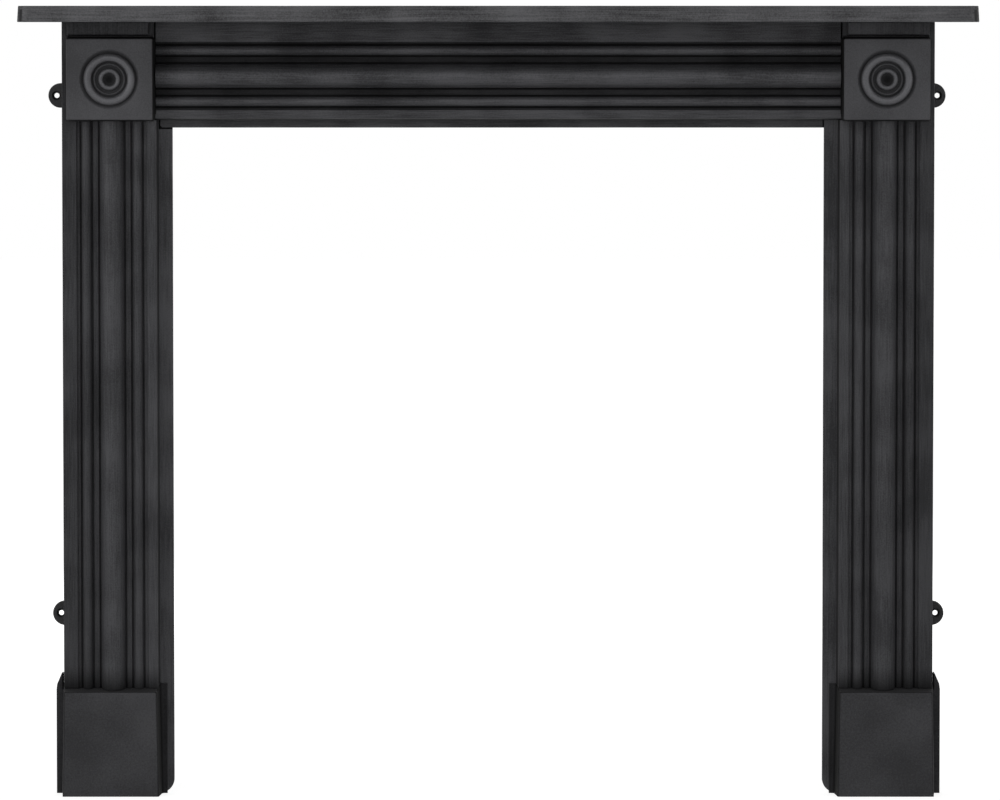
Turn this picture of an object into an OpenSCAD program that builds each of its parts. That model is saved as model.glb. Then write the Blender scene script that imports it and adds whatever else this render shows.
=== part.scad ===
// Cast iron fire surround with a mantel shelf, a reeded frieze and jambs, bullseye corner
// blocks and plinth blocks. Millimetres. The origin is on the floor, in the middle of the
// width and of the depth. +X is to the right as seen from the room, the front faces -Y,
// and +Z is up. Shapes are drawn in "wall" coordinates: x across, y out from the wall
// towards the room, z up, and from_wall() puts them in place.

/* [Fire opening] */
// Clear width between the jamb slips
opening_width = 914; // [760:1:1120]
// Clear height from the floor to the frieze slip
opening_height = 938; // [780:1:1130]

/* [Castings] */
// Thickness of the cast walls
wall = 6; // [5:0.5:7]
// Draft on the sides of the castings, in degrees
draft_angle = 4; // [2:0.5:5]
// Distance from the wall to the flats of the jambs and frieze
body_depth = 50; // [46:1:64]
// Small radius on the long cast edges
edge_round = 1.5; // [0.8:0.1:2]

/* [Slips] */
// Width of the jamb slip beside the opening
slip_width = 19.2; // [16:0.1:26]
// Height of the frieze slip above the opening
frieze_slip_height = 11; // [9:0.1:15]
// Depth behind the slips for the frame of the fire insert
rebate_depth = 12; // [10:1:16]
// Radius at the foot of each jamb slip
slip_foot_round = 20; // [10:1:24]

/* [Mouldings] */
// Radius of the large half-round
torus_radius = 16.7; // [12:0.1:17.5]
// Height of its crown above the flats
torus_rise = 12; // [9:0.5:13]
// Radius of the small half-rounds
reed_radius = 6.8; // [4:0.1:7.2]
// Height of their crowns above the flats
reed_rise = 2.6; // [1:0.1:4]
// Distance from the centre of the large half-round to a small one
reed_pitch = 35.6; // [34:0.1:40]
// Width of the sunk groove on each side of a half-round
quirk_width = 2.3; // [1.5:0.1:3]
// Depth of that groove below the flats
quirk_sink = 6; // [4:0.5:7]
// Depth of the narrow fillets below the flats
fillet_sink = 3; // [1:0.5:3.5]
// Width of the edge fillets of the jamb moulding
jamb_edge_fillet = 4.6; // [2:0.1:8]
// Width of the edge fillets of the frieze moulding
frieze_edge_fillet = 2.6; // [2:0.1:6]

/* [Flats] */
// Flat beside the opening on the jambs
jamb_inner_flat = 12.9; // [10:0.1:20]
// Flat on the outer edge of the jambs
jamb_outer_flat = 20; // [16:0.1:30]
// Flat along the lower edge of the frieze
frieze_lower_flat = 12.1; // [8:0.1:20]
// Flat along the top of the frieze
frieze_upper_flat = 28; // [24:0.1:40]

/* [Corner blocks] */
// Width of the front face
block_width = 120.2; // [110:0.1:122]
// Height of the front face
block_height = 113.2; // [104:0.1:113.5]
// Projection in front of the flats
block_rise = 32; // [24:1:40]
// Radius of the corners seen from the front
block_round = 2.5; // [1.5:0.1:6]
// How far its middle lies outside the middle of the jamb's moulding
block_offset = 1.1; // [0:0.1:2]
// How far the block's foot hangs below the lower edge of the frieze
block_drop = 1.5; // [0:0.1:3]
// Gap between the block and the raised strip above it
strip_gap = 2; // [0.5:0.1:3]
// Projection of the raised strip in front of the flats
strip_rise = 12; // [6:1:14]
// How far the strip stops short of the block's inner edge
strip_inset = 6.9; // [2:0.1:12]

/* [Bullseye] */
// Outer radius of the sunk cove round the bullseye
cove_radius = 39.5; // [39:0.1:42]
// Depth of the sunk disc
disc_sink = 2.6; // [2.4:0.1:3]
// Radius of the outer ring, to the middle of its roll
outer_ring_radius = 30.4; // [29:0.1:31]
// Radius of the outer ring's roll
outer_roll_radius = 5.7; // [4:0.1:6]
// Height of the outer ring's crown above the block's face
outer_ring_rise = 3.7; // [2.5:0.1:4]
// Radius of the thin bead between the rings
bead_ring_radius = 21; // [20:0.1:22]
// Radius of the bead's own roll
bead_roll_radius = 1.4; // [1:0.1:1.6]
// Radius of the inner ring, to the middle of its roll
inner_ring_radius = 12; // [11:0.1:13]
// Radius of the inner ring's roll
inner_roll_radius = 3.5; // [2.5:0.1:4]
// Height of the inner ring's crown above the block's face
inner_ring_rise = 1.4; // [0.5:0.1:1.5]
// Depth of the centre below the block's face
dimple_sink = 4.2; // [3.5:0.1:4.5]

/* [Plinth blocks] */
// Height of the front face
plinth_height = 147; // [120:1:180]
// Projection in front of the flats
plinth_rise = 18; // [14:1:26]
// Slope of the top, in degrees
plinth_slope = 10; // [5:1:14]
// How much narrower each side is at the top than at the floor
plinth_batter = 2.5; // [0:0.5:5]
// Inset of the front face from the jamb's front edges, at the top
plinth_inset = 0.8; // [0:0.1:3]
// Width of the wing beside the opening
inner_wing = 9.7; // [6:0.1:14]
// Width of the wing on the outer side
outer_wing = 9.2; // [6:0.1:12]
// Height of the sloping shoulder on the outer wing
shoulder_height = 15; // [8:1:24]

/* [Mantel shelf] */
// Overhang beyond each jamb, at the wall
shelf_overhang = 51.5; // [30:0.5:90]
// Projection in front of the flats
shelf_projection = 115; // [80:1:180]
// Thickness of the shelf plate
shelf_plate = 8; // [6:0.5:12]
// Height of the turned-down rim
rim_height = 22.5; // [18:0.5:40]
// Thickness of the rim
rim_wall = 8; // [6:0.5:12]
// How much wider the rim is at the bottom than at the top, each side
rim_flare = 1.4; // [0:0.1:3]
// Radius of the front corners seen from above
shelf_corner = 18; // [12:1:30]

/* [Wall lugs] */
// Radius of the rounded ear, half its height
lug_radius = 17.3; // [15:0.1:20]
// Thickness of the lug
lug_plate = 6; // [5:0.5:7]
// Radius of the wall screw's hole
lug_hole_radius = 3.6; // [3:0.1:4]
// Radius of its countersink at the front
lug_sink_radius = 6.8; // [5:0.1:7]
// How far the ears stand out from the jamb
lug_reach = 15; // [14.5:0.5:22]
// How far the upper left ear stands out
upper_left_lug_reach = 18.5; // [14.5:0.5:22]
// From the tip of an ear to the centre of its hole
lug_hole_inset = 11.9; // [10:0.1:13.5]
// Distance of the upper lugs below the top of the jambs
upper_lug_drop = 103; // [90:1:112]
// Height of the lower lugs above the floor
lower_lug_height = 253.5; // [200:1:400]

/* [Fasteners] */
// Radius of the bolts and screws
bolt_radius = 4; // [3:0.5:4]
// Extra radius of a clearance hole
hole_clearance = 0.5; // [0.3:0.1:0.6]
// Extra radius of a tapped hole or a nut over its bolt
tapped_clearance = 0.05; // [0.02:0.01:0.1]
// Thickness of a bolt head
head_height = 5.3; // [4:0.1:5.5]
// Thickness of a nut
nut_height = 6.5; // [5:0.1:7]
// Size of the heads and nuts across their corners
hex_size = 15; // [11:0.1:15]
// Outer radius of the washers
washer_radius = 8; // [6.5:0.5:9]
// Thickness of the washers
washer_plate = 1.6; // [1:0.1:2]
// Length of thread in a tapped boss
thread_length = 12; // [8:1:12]
// Outer radius of the tapped bosses
boss_radius = 11; // [9:0.5:12]
// Outer radius of the bosses inside the corner blocks
block_boss_radius = 9; // [7:0.5:11]

/* [Hidden] */

$fn = 48;
iron_colour = "#3b3b3d";
steel_colour = "#8a8c8f";
left = -1;
right = 1;

// Fits: between castings, between the slips, and round the plinth's outer wing
casting_gap = 0.4;
slip_joint_gap = 0.6;
wing_clear = 0.8;
// Step from the jamb's inner edge to its joint with the frieze
head_step = 2.6;
// How far a cut or a joined piece runs past the face it meets, the least and the most
over = 1;
cut_margin = 20;
// Overlap of two cuts that meet
seam = 0.01;

// Depths, out from the wall
slip_front = rebate_depth + wall;
flat_back = body_depth - wall;
quirk_level = body_depth - quirk_sink;
fillet_level = body_depth - fillet_sink;
moulding_back = quirk_level - wall;
shelf_depth = body_depth + shelf_projection;
block_front = body_depth + block_rise;
plinth_front = body_depth + plinth_rise;
wing_front = slip_front + wall;
back_y = shelf_depth / 2;

// Draft
function draft(depth) = depth * tan(draft_angle);

// Places across, on the right-hand side
opening_side = opening_width / 2;
return_side = opening_side + slip_width;
jamb_inner = return_side + draft(body_depth - slip_front);
fillets_between = reed_pitch - torus_radius - reed_radius - 2 * quirk_width;
reed_edge = reed_pitch + reed_radius;
jamb_half_group = reed_edge + quirk_width + jamb_edge_fillet;
frieze_half_group = reed_edge + quirk_width + frieze_edge_fillet;
jamb_centre = jamb_inner + jamb_inner_flat + jamb_half_group;
jamb_outer = jamb_centre + jamb_half_group + jamb_outer_flat;
jamb_wall_side = jamb_outer + draft(body_depth);
joint_side = jamb_inner + head_step;
block_centre = jamb_centre + block_offset;
strip_inner = block_centre - block_width / 2 + strip_inset;
strip_outer = block_centre + block_width / 2;
shelf_half = jamb_wall_side + shelf_overhang;

// Heights
frieze_bottom = opening_height + frieze_slip_height + draft(body_depth - slip_front);
frieze_centre = frieze_bottom + frieze_lower_flat + frieze_half_group;
body_top = frieze_centre + frieze_half_group + frieze_upper_flat;
shelf_top = body_top + rim_height;
block_bottom = frieze_bottom - block_drop;
block_top = block_bottom + block_height;
block_middle = (block_bottom + block_top) / 2;
block_low = block_bottom - draft(block_rise);
block_high = block_top + draft(block_rise);
strip_low = block_high + strip_gap;
head_bottom = frieze_bottom - draft(body_depth - slip_front) - casting_gap;
upper_lug_z = body_top - upper_lug_drop;

// Plinth: its top slopes up towards the wall
function plinth_top(depth) = plinth_height + (plinth_front - depth) * tan(plinth_slope);
wing_top = plinth_top(wing_front);
plinth_inner = jamb_inner + plinth_inset;
plinth_outer = jamb_outer - plinth_inset;
wing_inner = return_side - inner_wing;
wing_outer = jamb_wall_side + outer_wing;
edge_chamfer = 1;

// Shelf ribs: height of the cross ribs above the rim's foot, and the place of the middle two
rib_rise = 7.5;
inner_rib_x = opening_side / 3;

// Fixings
joint_bolt_depth = (rebate_depth + flat_back) / 2;
joint_bolt_spread = 36;
block_bolt_spread = 38;
plinth_bolt_spread = 36;
plinth_bolt_z = plinth_height / 2;
shelf_bolt_depth = joint_bolt_depth;
frieze_bolt_spread = opening_width / 4;
lug_screw_x = jamb_wall_side - wall - boss_radius;
tap_runout = 2;
lug_tap_depth = 25;
bolt_end_gap = 1;
bolt_tail = 2;
screw_slot = 1.6;
screw_head_radius = 2 * bolt_radius - tapped_clearance;
bolt_hole = bolt_radius + hole_clearance;
tapped_hole = bolt_radius + tapped_clearance;

// ---------------------------------------------------------------- placing

// Turns wall coordinates into the part's own frame
module from_wall() translate([0, back_y, 0]) mirror([0, 1, 0]) children();

// Draws a right-hand piece on either side
module on_side(side) mirror([side == left ? 1 : 0, 0, 0]) from_wall() children();

// Extrudes a section drawn as x across, y out from the wall, up from z0 to z1
module upright(z0, z1) translate([0, 0, z0]) linear_extrude(z1 - z0) children();

// Extrudes a section drawn as y out from the wall, z up, from x0 to x1
module across(x0, x1) translate([x0, 0, 0]) rotate([90, 0, 90]) linear_extrude(x1 - x0) children();

// Extrudes an outline seen from the front, from depth y0 to y1
module outward(y0, y1) translate([0, y1, 0]) rotate([90, 0, 0]) linear_extrude(y1 - y0) children();

// A round bar or hole that points out from the wall, from depth y0 to y1
module bar_out(x, z, y0, y1, r) translate([x, y0, z]) rotate([-90, 0, 0]) cylinder(h = y1 - y0, r = r);

// A rectangle from corner to corner
module rect(x0, y0, x1, y1) translate([x0, y0]) square([x1 - x0, y1 - y0]);

// Points of an arc, for rounded corners in outlines
function arc(x, y, r, a0, a1, steps = 4) =
    [for (i = [0:steps]) let (a = a0 + (a1 - a0) * i / steps) [x + r * cos(a), y + r * sin(a)]];

// ---------------------------------------------------------------- mouldings

// Section of the reeded moulding: x from the middle of the large half-round, y from the wall
module moulding(half_group, edge_fillet) {
    mid = torus_radius + quirk_width;
    difference() {
        union() {
            rect(-half_group, moulding_back, half_group, quirk_level);
            for (side = [left, right]) {
                // edge fillet
                outer = side * half_group;
                inner = side * (half_group - edge_fillet);
                rect(min(outer, inner), moulding_back, max(outer, inner), fillet_level);
                // fillet between the half-rounds
                near = side * mid;
                far = side * (mid + fillets_between);
                rect(min(near, far), moulding_back, max(near, far), fillet_level);
                translate([side * reed_pitch, body_depth + reed_rise - reed_radius]) circle(reed_radius);
            }
            intersection() {
                translate([0, body_depth + torus_rise - torus_radius]) circle(torus_radius);
                rect(-torus_radius, moulding_back, torus_radius, body_depth + torus_rise + over);
            }
        }
        // cored out behind the large half-round
        translate([0, moulding_back]) circle(torus_radius - wall);
    }
}

// ---------------------------------------------------------------- jambs

// Plan section of the moulded jamb: slip, inner return, front, outer return
module jamb_section() {
    inner_back = return_side + wall;
    outer_back = jamb_wall_side - wall;
    // slip with its eased front edge
    polygon(concat(
        [[inner_back, rebate_depth], [opening_side, rebate_depth]],
        arc(opening_side + edge_round, slip_front - edge_round, edge_round, 180, 90),
        [[inner_back, slip_front]]
    ));
    // inner return and inner flat
    polygon(concat(
        [[return_side, rebate_depth], [return_side, slip_front]],
        arc(jamb_inner + edge_round, body_depth - edge_round, edge_round, 180 - draft_angle, 90),
        arc(jamb_inner + jamb_inner_flat - edge_round, body_depth - edge_round, edge_round, 90, 0),
        [[jamb_inner + jamb_inner_flat, flat_back], [jamb_inner + wall, flat_back]],
        [[inner_back, rebate_depth]]
    ));
    // outer return and outer flat
    outer_flat_start = jamb_outer - jamb_outer_flat;
    polygon(concat(
        [[outer_flat_start, flat_back]],
        arc(outer_flat_start + edge_round, body_depth - edge_round, edge_round, 180, 90),
        arc(jamb_outer - edge_round, body_depth - edge_round, edge_round, 90, draft_angle),
        [[jamb_wall_side, 0], [outer_back, 0], [jamb_outer - wall, flat_back]]
    ));
    translate([jamb_centre, 0]) moulding(jamb_half_group, jamb_edge_fillet);
    // webs that join the sunk moulding to the flats
    for (start = [jamb_inner + jamb_inner_flat - wall, outer_flat_start])
        rect(start, moulding_back, start + wall, body_depth - edge_round);
}

// Plan section of the jamb's plain head, where the corner block sits
module head_section() {
    polygon(concat(
        [[joint_side, flat_back], [joint_side, body_depth]],
        arc(jamb_outer - edge_round, body_depth - edge_round, edge_round, 90, draft_angle),
        [[jamb_wall_side, 0], [jamb_wall_side - wall, 0], [jamb_outer - wall, flat_back]]
    ));
}

// Raised strip under the shelf, with drafted edges
module head_strip() {
    run = draft(strip_rise);
    intersection() {
        upright(strip_low, body_top) polygon([
            [strip_inner - run, body_depth - over], [strip_inner - run, body_depth],
            [strip_inner, body_depth + strip_rise], [strip_outer, body_depth + strip_rise],
            [strip_outer + run, body_depth], [strip_outer + run, body_depth - over]
        ]);
        across(strip_inner - wall, strip_outer + wall) polygon(concat(
            [[body_depth - over, strip_low], [body_depth, strip_low]],
            arc(body_depth + strip_rise - edge_round, strip_low + run + edge_round, edge_round,
                draft_angle - 90, 0),
            [[body_depth + strip_rise, body_top], [body_depth - over, body_top]]
        ));
    }
}

// Everything in front of the foot plate and below the sloping top of the plinth
module plinth_space(gap) {
    across(opening_side - cut_margin, wing_outer + cut_margin) polygon([
        [slip_front, -cut_margin],
        [plinth_front + cut_margin, -cut_margin],
        [plinth_front + cut_margin, plinth_top(plinth_front + cut_margin) + gap],
        [slip_front, plinth_top(slip_front) + gap]
    ]);
}

// Foot plate, and the web above the plinth; plinth_space() trims the web's underside
module jamb_foot() {
    web_top = plinth_top(slip_front) + casting_gap + wall;
    web_end = moulding_back + wall / 2;
    across(return_side + wall / 2, jamb_outer - wall / 2) {
        rect(rebate_depth, 0, slip_front, web_top);
        polygon([
            [slip_front - over, web_top - 2 * wall], [web_end, web_top - 2 * wall],
            [web_end, plinth_top(web_end) + casting_gap + wall], [slip_front, web_top],
            [slip_front - over, web_top]
        ]);
    }
}

// Tapped boss that carries a wall lug, from the lug's face to the jamb's front
module lug_boss(z) {
    bar_out(lug_screw_x, z, lug_plate, flat_back, boss_radius);
}

module lug_cuts(z) {
    // seat for the lug, open through the outer return
    outward(-over, lug_plate) rect(lug_screw_x - lug_radius - casting_gap, z - lug_radius - casting_gap,
        jamb_wall_side + cut_margin, z + lug_radius + casting_gap);
    bar_out(lug_screw_x, z, lug_plate - over, lug_plate - over + lug_tap_depth, tapped_hole);
}

module slip_foot_cut() {
    r = slip_foot_round;
    outward(rebate_depth - over, slip_front + over) difference() {
        rect(opening_side - over, -over, opening_side + r, r);
        translate([opening_side + r, r]) circle(r);
    }
}

module jamb(side) {
    slip_top = side == right ? head_bottom : opening_height - slip_joint_gap;
    color(iron_colour) on_side(side) {
        difference() {
            union() {
                difference() {
                    union() {
                        upright(0, head_bottom) jamb_section();
                        jamb_foot();
                    }
                    plinth_space(casting_gap);
                }
                // head: a plain plate behind the block, tied to the backs of the mouldings
                upright(block_low, body_top) head_section();
                upright(block_low - wall, block_low + wall)
                    rect(joint_side, moulding_back, jamb_outer - wall, flat_back);
                upright(block_low - wall, body_top)
                    rect(joint_side, rebate_depth, joint_side + wall, flat_back);
                head_strip();
                upright(body_top - wall, body_top)
                    rect(joint_side, rebate_depth, jamb_outer - wall / 2, body_depth - over);
                lug_boss(upper_lug_z);
                lug_boss(lower_lug_height);
            }
            // the mouldings stop at the corner block
            difference() {
                block_outer(casting_gap);
                outward(0, body_depth) rect(0, 0, shelf_half, shelf_top);
            }
            upright(slip_top, head_bottom + over)
                rect(opening_side - over, rebate_depth - over, return_side - casting_gap, slip_front + over);
            slip_foot_cut();
            lug_cuts(upper_lug_z);
            lug_cuts(lower_lug_height);
            // holes for the frieze, corner block, plinth and shelf bolts
            for (step = [-1, 1]) {
                joint_hole(joint_side - over, step);
                bar_out(block_centre + step * block_bolt_spread, block_middle,
                    flat_back - over, body_depth + over, bolt_hole);
                bar_out(jamb_centre + step * plinth_bolt_spread, plinth_bolt_z,
                    rebate_depth - over, slip_front + over, bolt_hole);
            }
            translate([jamb_centre, shelf_bolt_depth, body_top - wall - over])
                cylinder(h = wall + 2 * over, r = bolt_hole);
        }
    }
}

// ---------------------------------------------------------------- frieze

function joint_bolt_z(step) = (frieze_bottom + body_top) / 2 + step * joint_bolt_spread;

module joint_hole(x, step) {
    translate([x, joint_bolt_depth, joint_bolt_z(step)]) rotate([0, 90, 0])
        cylinder(h = wall + 2 * over, r = bolt_hole);
}

// Section of the frieze: x out from the wall, y up
module frieze_section() {
    return_z = opening_height + frieze_slip_height;
    flat_end = frieze_bottom + frieze_lower_flat;
    flat_start = frieze_centre + frieze_half_group;
    // slip
    polygon(concat(
        [[rebate_depth, return_z + wall], [rebate_depth, opening_height]],
        arc(slip_front - edge_round, opening_height + edge_round, edge_round, -90, 0),
        [[slip_front, return_z + wall]]
    ));
    // bottom return and lower flat
    polygon(concat(
        [[rebate_depth, return_z], [slip_front, return_z]],
        arc(body_depth - edge_round, frieze_bottom + edge_round, edge_round, draft_angle - 90, 0),
        arc(body_depth - edge_round, flat_end - edge_round, edge_round, 0, 90),
        [[flat_back, flat_end], [flat_back, frieze_bottom + wall], [rebate_depth, return_z + wall]]
    ));
    // upper flat and top flange
    polygon(concat(
        [[rebate_depth, body_top], [rebate_depth, body_top - wall], [flat_back, body_top - wall]],
        [[flat_back, flat_start]],
        arc(body_depth - edge_round, flat_start + edge_round, edge_round, -90, 0),
        [[body_depth, body_top]]
    ));
    translate([0, frieze_centre]) mirror([1, -1]) moulding(frieze_half_group, frieze_edge_fillet);
    // webs that join the sunk moulding to the flats
    rect(moulding_back, flat_end - wall, body_depth - edge_round, flat_end);
    rect(moulding_back, flat_start, body_depth - edge_round, flat_start + wall);
}

module frieze() {
    slip_end = return_side - slip_joint_gap;
    slip_top = opening_height + frieze_slip_height;
    ease = 2 * edge_round;
    color(iron_colour) difference() {
        from_wall() union() {
            difference() {
                across(-joint_side, joint_side) frieze_section();
                // the slip runs over the left jamb's slip and stops against the right one
                outward(rebate_depth - over, slip_front + over) {
                    rect(-joint_side - over, 0, -slip_end, slip_top);
                    rect(opening_side - slip_joint_gap, 0, joint_side + over, slip_top);
                    // eased lower left corner of the slip
                    polygon([
                        [-slip_end - over, opening_height - over], [-slip_end + ease, opening_height - over],
                        [-slip_end + ease, opening_height], [-slip_end, opening_height + ease],
                        [-slip_end - over, opening_height + ease]
                    ]);
                }
            }
            for (side = [left, right])
                mirror([side == left ? 1 : 0, 0, 0])
                    across(joint_side - wall, joint_side)
                        rect(rebate_depth, frieze_bottom + wall / 2, moulding_back + over, body_top - over);
        }
        for (side = [left, right]) {
            on_side(side) difference() {
                block_outer(casting_gap);
                outward(0, body_depth) rect(0, 0, shelf_half, shelf_top);
            }
            on_side(side) for (step = [-1, 1]) joint_hole(joint_side - wall - over, step);
        }
        from_wall() for (step = [-1, 1])
            translate([step * frieze_bolt_spread, shelf_bolt_depth, body_top - wall - over])
                cylinder(h = wall + 2 * over, r = bolt_hole);
    }
}

// ---------------------------------------------------------------- corner blocks

// Drafted block with rounded corners, grown all round by a gap
module block_outer(gap) {
    run = draft(block_rise);
    half = block_width / 2;
    hull() {
        for (a = [left, right])
            for (b = [block_bottom, block_top]) {
                inward = b == block_bottom ? 1 : -1;
                x = block_centre + a * (half - block_round);
                translate([x, body_depth, b + inward * block_round]) rotate([-90, 0, 0])
                        cylinder(h = block_rise + gap, r1 = block_round + run + gap, r2 = block_round + gap,
                            $fn = 32);
            }
    }
}

module block_inner() {
    run = draft(block_rise);
    half = block_width / 2 - wall;
    depth = block_rise - wall - disc_sink;
    hull() {
        for (a = [left, right])
            for (b = [block_bottom + wall, block_top - wall]) {
                inward = b < block_middle ? 1 : -1;
                x = block_centre + a * (half - block_round);
                translate([x, body_depth - over, b + inward * block_round]) rotate([-90, 0, 0])
                        cylinder(h = depth + over, r1 = block_round + run, r2 = block_round, $fn = 32);
            }
    }
}

// Profile of the bullseye's sunk disc: x from its centre, y out from the block's face
module bullseye_cut() {
    rotate_extrude() polygon(concat(
        [[0, -dimple_sink], [inner_ring_radius - inner_roll_radius, -disc_sink]],
        arc(cove_radius - disc_sink, 0, disc_sink, -90, 0),
        [[cove_radius, over], [0, over]]
    ));
}

// A ring with a rounded crown, standing in the sunk disc
module roll_ring(ring_radius, roll_radius, rise) {
    rotate_extrude() intersection() {
        translate([ring_radius, rise - roll_radius]) circle(roll_radius);
        rect(0, -disc_sink - over, cove_radius, rise + over);
    }
}

module bullseye_rings() {
    roll_ring(outer_ring_radius, outer_roll_radius, outer_ring_rise);
    roll_ring(bead_ring_radius, bead_roll_radius, bead_roll_radius - disc_sink);
    roll_ring(inner_ring_radius, inner_roll_radius, inner_ring_rise);
}

module corner_block(side) {
    color(iron_colour) on_side(side) {
        difference() {
            union() {
                difference() {
                    block_outer(0);
                    block_inner();
                    translate([block_centre, block_front, block_middle]) rotate([-90, 0, 0]) bullseye_cut();
                }
                translate([block_centre, block_front, block_middle]) rotate([-90, 0, 0]) bullseye_rings();
                for (step = [-1, 1])
                    bar_out(block_centre + step * block_bolt_spread, block_middle,
                        body_depth, block_front - wall, block_boss_radius);
            }
            for (step = [-1, 1])
                bar_out(block_centre + step * block_bolt_spread, block_middle,
                    body_depth - over, body_depth + thread_length + tap_runout, tapped_hole);
        }
    }
}

// ---------------------------------------------------------------- plinth blocks

// Front box of the plinth, smaller all round by an inset; its sides are drafted and battered
module plinth_box(inset) {
    tip = edge_round;
    hull() {
        for (level = [0, 1])
            for (far = [0, 1]) {
                depth = far == 1 ? plinth_front - inset - tip : slip_front;
                side_run = draft(plinth_front - depth) + (1 - level) * plinth_batter;
                z = level == 1 ? plinth_top(depth) - inset - tip : tip - 2 * inset;
                for (x = [plinth_inner - side_run + inset + tip, plinth_outer + side_run - inset - tip])
                    translate([x, depth, z]) sphere(tip, $fn = 16);
            }
    }
}

module plinth_block(side) {
    outer_in = jamb_wall_side + wing_clear;
    color(iron_colour) on_side(side) {
        difference() {
            union() {
                plinth_box(0);
                // wings: the flange round the block, and its return along the jamb's outer side
                outward(slip_front, wing_front) {
                    rect(wing_inner, 0, plinth_inner, wing_top);
                    rect(plinth_outer - over, 0, wing_outer, plinth_height);
                }
                outward(0, wing_front) polygon([
                    [outer_in, 0], [wing_outer, 0], [wing_outer, plinth_height],
                    [wing_outer - edge_chamfer, wing_top],
                    [outer_in + edge_chamfer, wing_top + shoulder_height],
                    [outer_in, wing_top + shoulder_height]
                ]);
            }
            difference() {
                plinth_box(wall);
                for (step = [-1, 1])
                    bar_out(jamb_centre + step * plinth_bolt_spread, plinth_bolt_z,
                        0, plinth_front, boss_radius);
            }
            // open back, seated on the jamb's foot plate
            outward(-over, slip_front) rect(wing_inner - over, -over, outer_in, wing_top + cut_margin);
            for (step = [-1, 1])
                bar_out(jamb_centre + step * plinth_bolt_spread, plinth_bolt_z,
                    slip_front - over, slip_front + thread_length + tap_runout, tapped_hole);
        }
    }
}

// ---------------------------------------------------------------- mantel shelf

// Section of the rim: x outward from its inner face at the top, y up
module rim_section() {
    r = edge_round;
    top = rim_wall;
    low = rim_wall + rim_flare;
    polygon(concat(
        [[0, 0]],
        arc(low - r, r, r, -90, 0),
        arc(top - r, rim_height - r, r, 0, 90),
        [[0, rim_height]]
    ));
}

module mantel_shelf() {
    inner_half = shelf_half - rim_wall - rim_flare;
    inner_front = shelf_depth - rim_wall - rim_flare;
    // corner centres, with the rim's section turned round them
    turn = shelf_corner - rim_wall - rim_flare;
    corner_x = inner_half - turn;
    corner_y = inner_front - turn;
    color(iron_colour) difference() {
        from_wall() union() {
            // rim
            translate([0, 0, body_top]) across(-corner_x, corner_x) translate([inner_front, 0]) rim_section();
            for (side = [left, right]) mirror([side == left ? 1 : 0, 0, 0]) {
                translate([0, 0, body_top]) outward(0, corner_y) translate([inner_half, 0]) rim_section();
                translate([corner_x, corner_y, body_top]) rotate_extrude(angle = 90)
                    translate([turn, 0]) rim_section();
            }
            // plate, under the top of the rim
            upright(shelf_top - shelf_plate, shelf_top) {
                rect(-inner_half - over, 0, inner_half + over, corner_y);
                rect(-corner_x, corner_y - over, corner_x, inner_front + over);
                for (side = [left, right]) translate([side * corner_x, corner_y]) circle(turn + over);
            }
            // back rib and cross ribs
            upright(body_top, shelf_top - over) rect(-inner_half - over, 0, inner_half + over, wall);
            for (x = [-jamb_centre, -inner_rib_x, inner_rib_x, jamb_centre])
                upright(body_top + rib_rise, shelf_top - over)
                    rect(x - wall / 2, over, x + wall / 2, inner_front + over);
            shelf_bolt_places() upright(body_top, shelf_top - over) circle(boss_radius);
        }
        from_wall() shelf_bolt_places()
            upright(body_top - over, body_top + thread_length) circle(tapped_hole);
    }
}

module shelf_bolt_places() {
    for (x = [-jamb_centre, -frieze_bolt_spread, frieze_bolt_spread, jamb_centre])
        translate([x, shelf_bolt_depth, 0]) children();
}

// ---------------------------------------------------------------- wall lugs

module wall_lug(side, z, reach) {
    tip = jamb_wall_side + reach;
    hole_x = tip - lug_hole_inset;
    color(iron_colour) on_side(side) difference() {
        outward(0, lug_plate) {
            translate([tip - lug_radius, z]) circle(lug_radius);
            translate([lug_screw_x, z]) circle(lug_radius);
            rect(lug_screw_x, z - lug_radius, tip - lug_radius, z + lug_radius);
        }
        // countersunk hole for the wall screw, open to the room
        bar_out(hole_x, z, -over, lug_plate + over, lug_hole_radius);
        translate([hole_x, lug_plate - lug_sink_radius + lug_hole_radius, z]) rotate([-90, 0, 0])
            cylinder(h = lug_sink_radius - lug_hole_radius, r1 = lug_hole_radius, r2 = lug_sink_radius);
        // countersunk hole for the lug's own screw
        bar_out(lug_screw_x, z, -over, lug_plate + over, bolt_hole);
        translate([lug_screw_x, 0, z]) rotate([-90, 0, 0])
            cylinder(h = screw_head_radius - bolt_hole + hole_clearance,
                r1 = screw_head_radius + hole_clearance, r2 = bolt_hole);
        bar_out(lug_screw_x, z, -over, seam, screw_head_radius + hole_clearance);
    }
}

module lug_screw(z) {
    length = lug_plate + thread_length;
    translate([lug_screw_x, hole_clearance, z]) rotate([-90, 0, 0]) difference() {
        union() {
            cylinder(h = screw_head_radius - bolt_radius, r1 = screw_head_radius, r2 = bolt_radius);
            cylinder(h = length, r = bolt_radius);
        }
        translate([-screw_head_radius - over, -screw_slot / 2, -over])
            cube([2 * (screw_head_radius + over), screw_slot, over + screw_slot]);
    }
}

module lug_screws(side) {
    color(steel_colour) on_side(side) {
        lug_screw(upper_lug_z);
        lug_screw(lower_lug_height);
    }
}

// ---------------------------------------------------------------- bolts, washers and nuts

// A hex bolt along +z: its head lies below z = 0 and its shank above
module hex_bolt(length) {
    translate([0, 0, -head_height]) cylinder(h = head_height, d = hex_size, $fn = 6);
    translate([0, 0, -over]) cylinder(h = length + over, r = bolt_radius);
}

// A washer whose lower face is at z = 0
module washer() {
    difference() {
        cylinder(h = washer_plate, r = washer_radius);
        translate([0, 0, -over]) cylinder(h = washer_plate + 2 * over, r = bolt_radius + hole_clearance / 2);
    }
}

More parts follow.
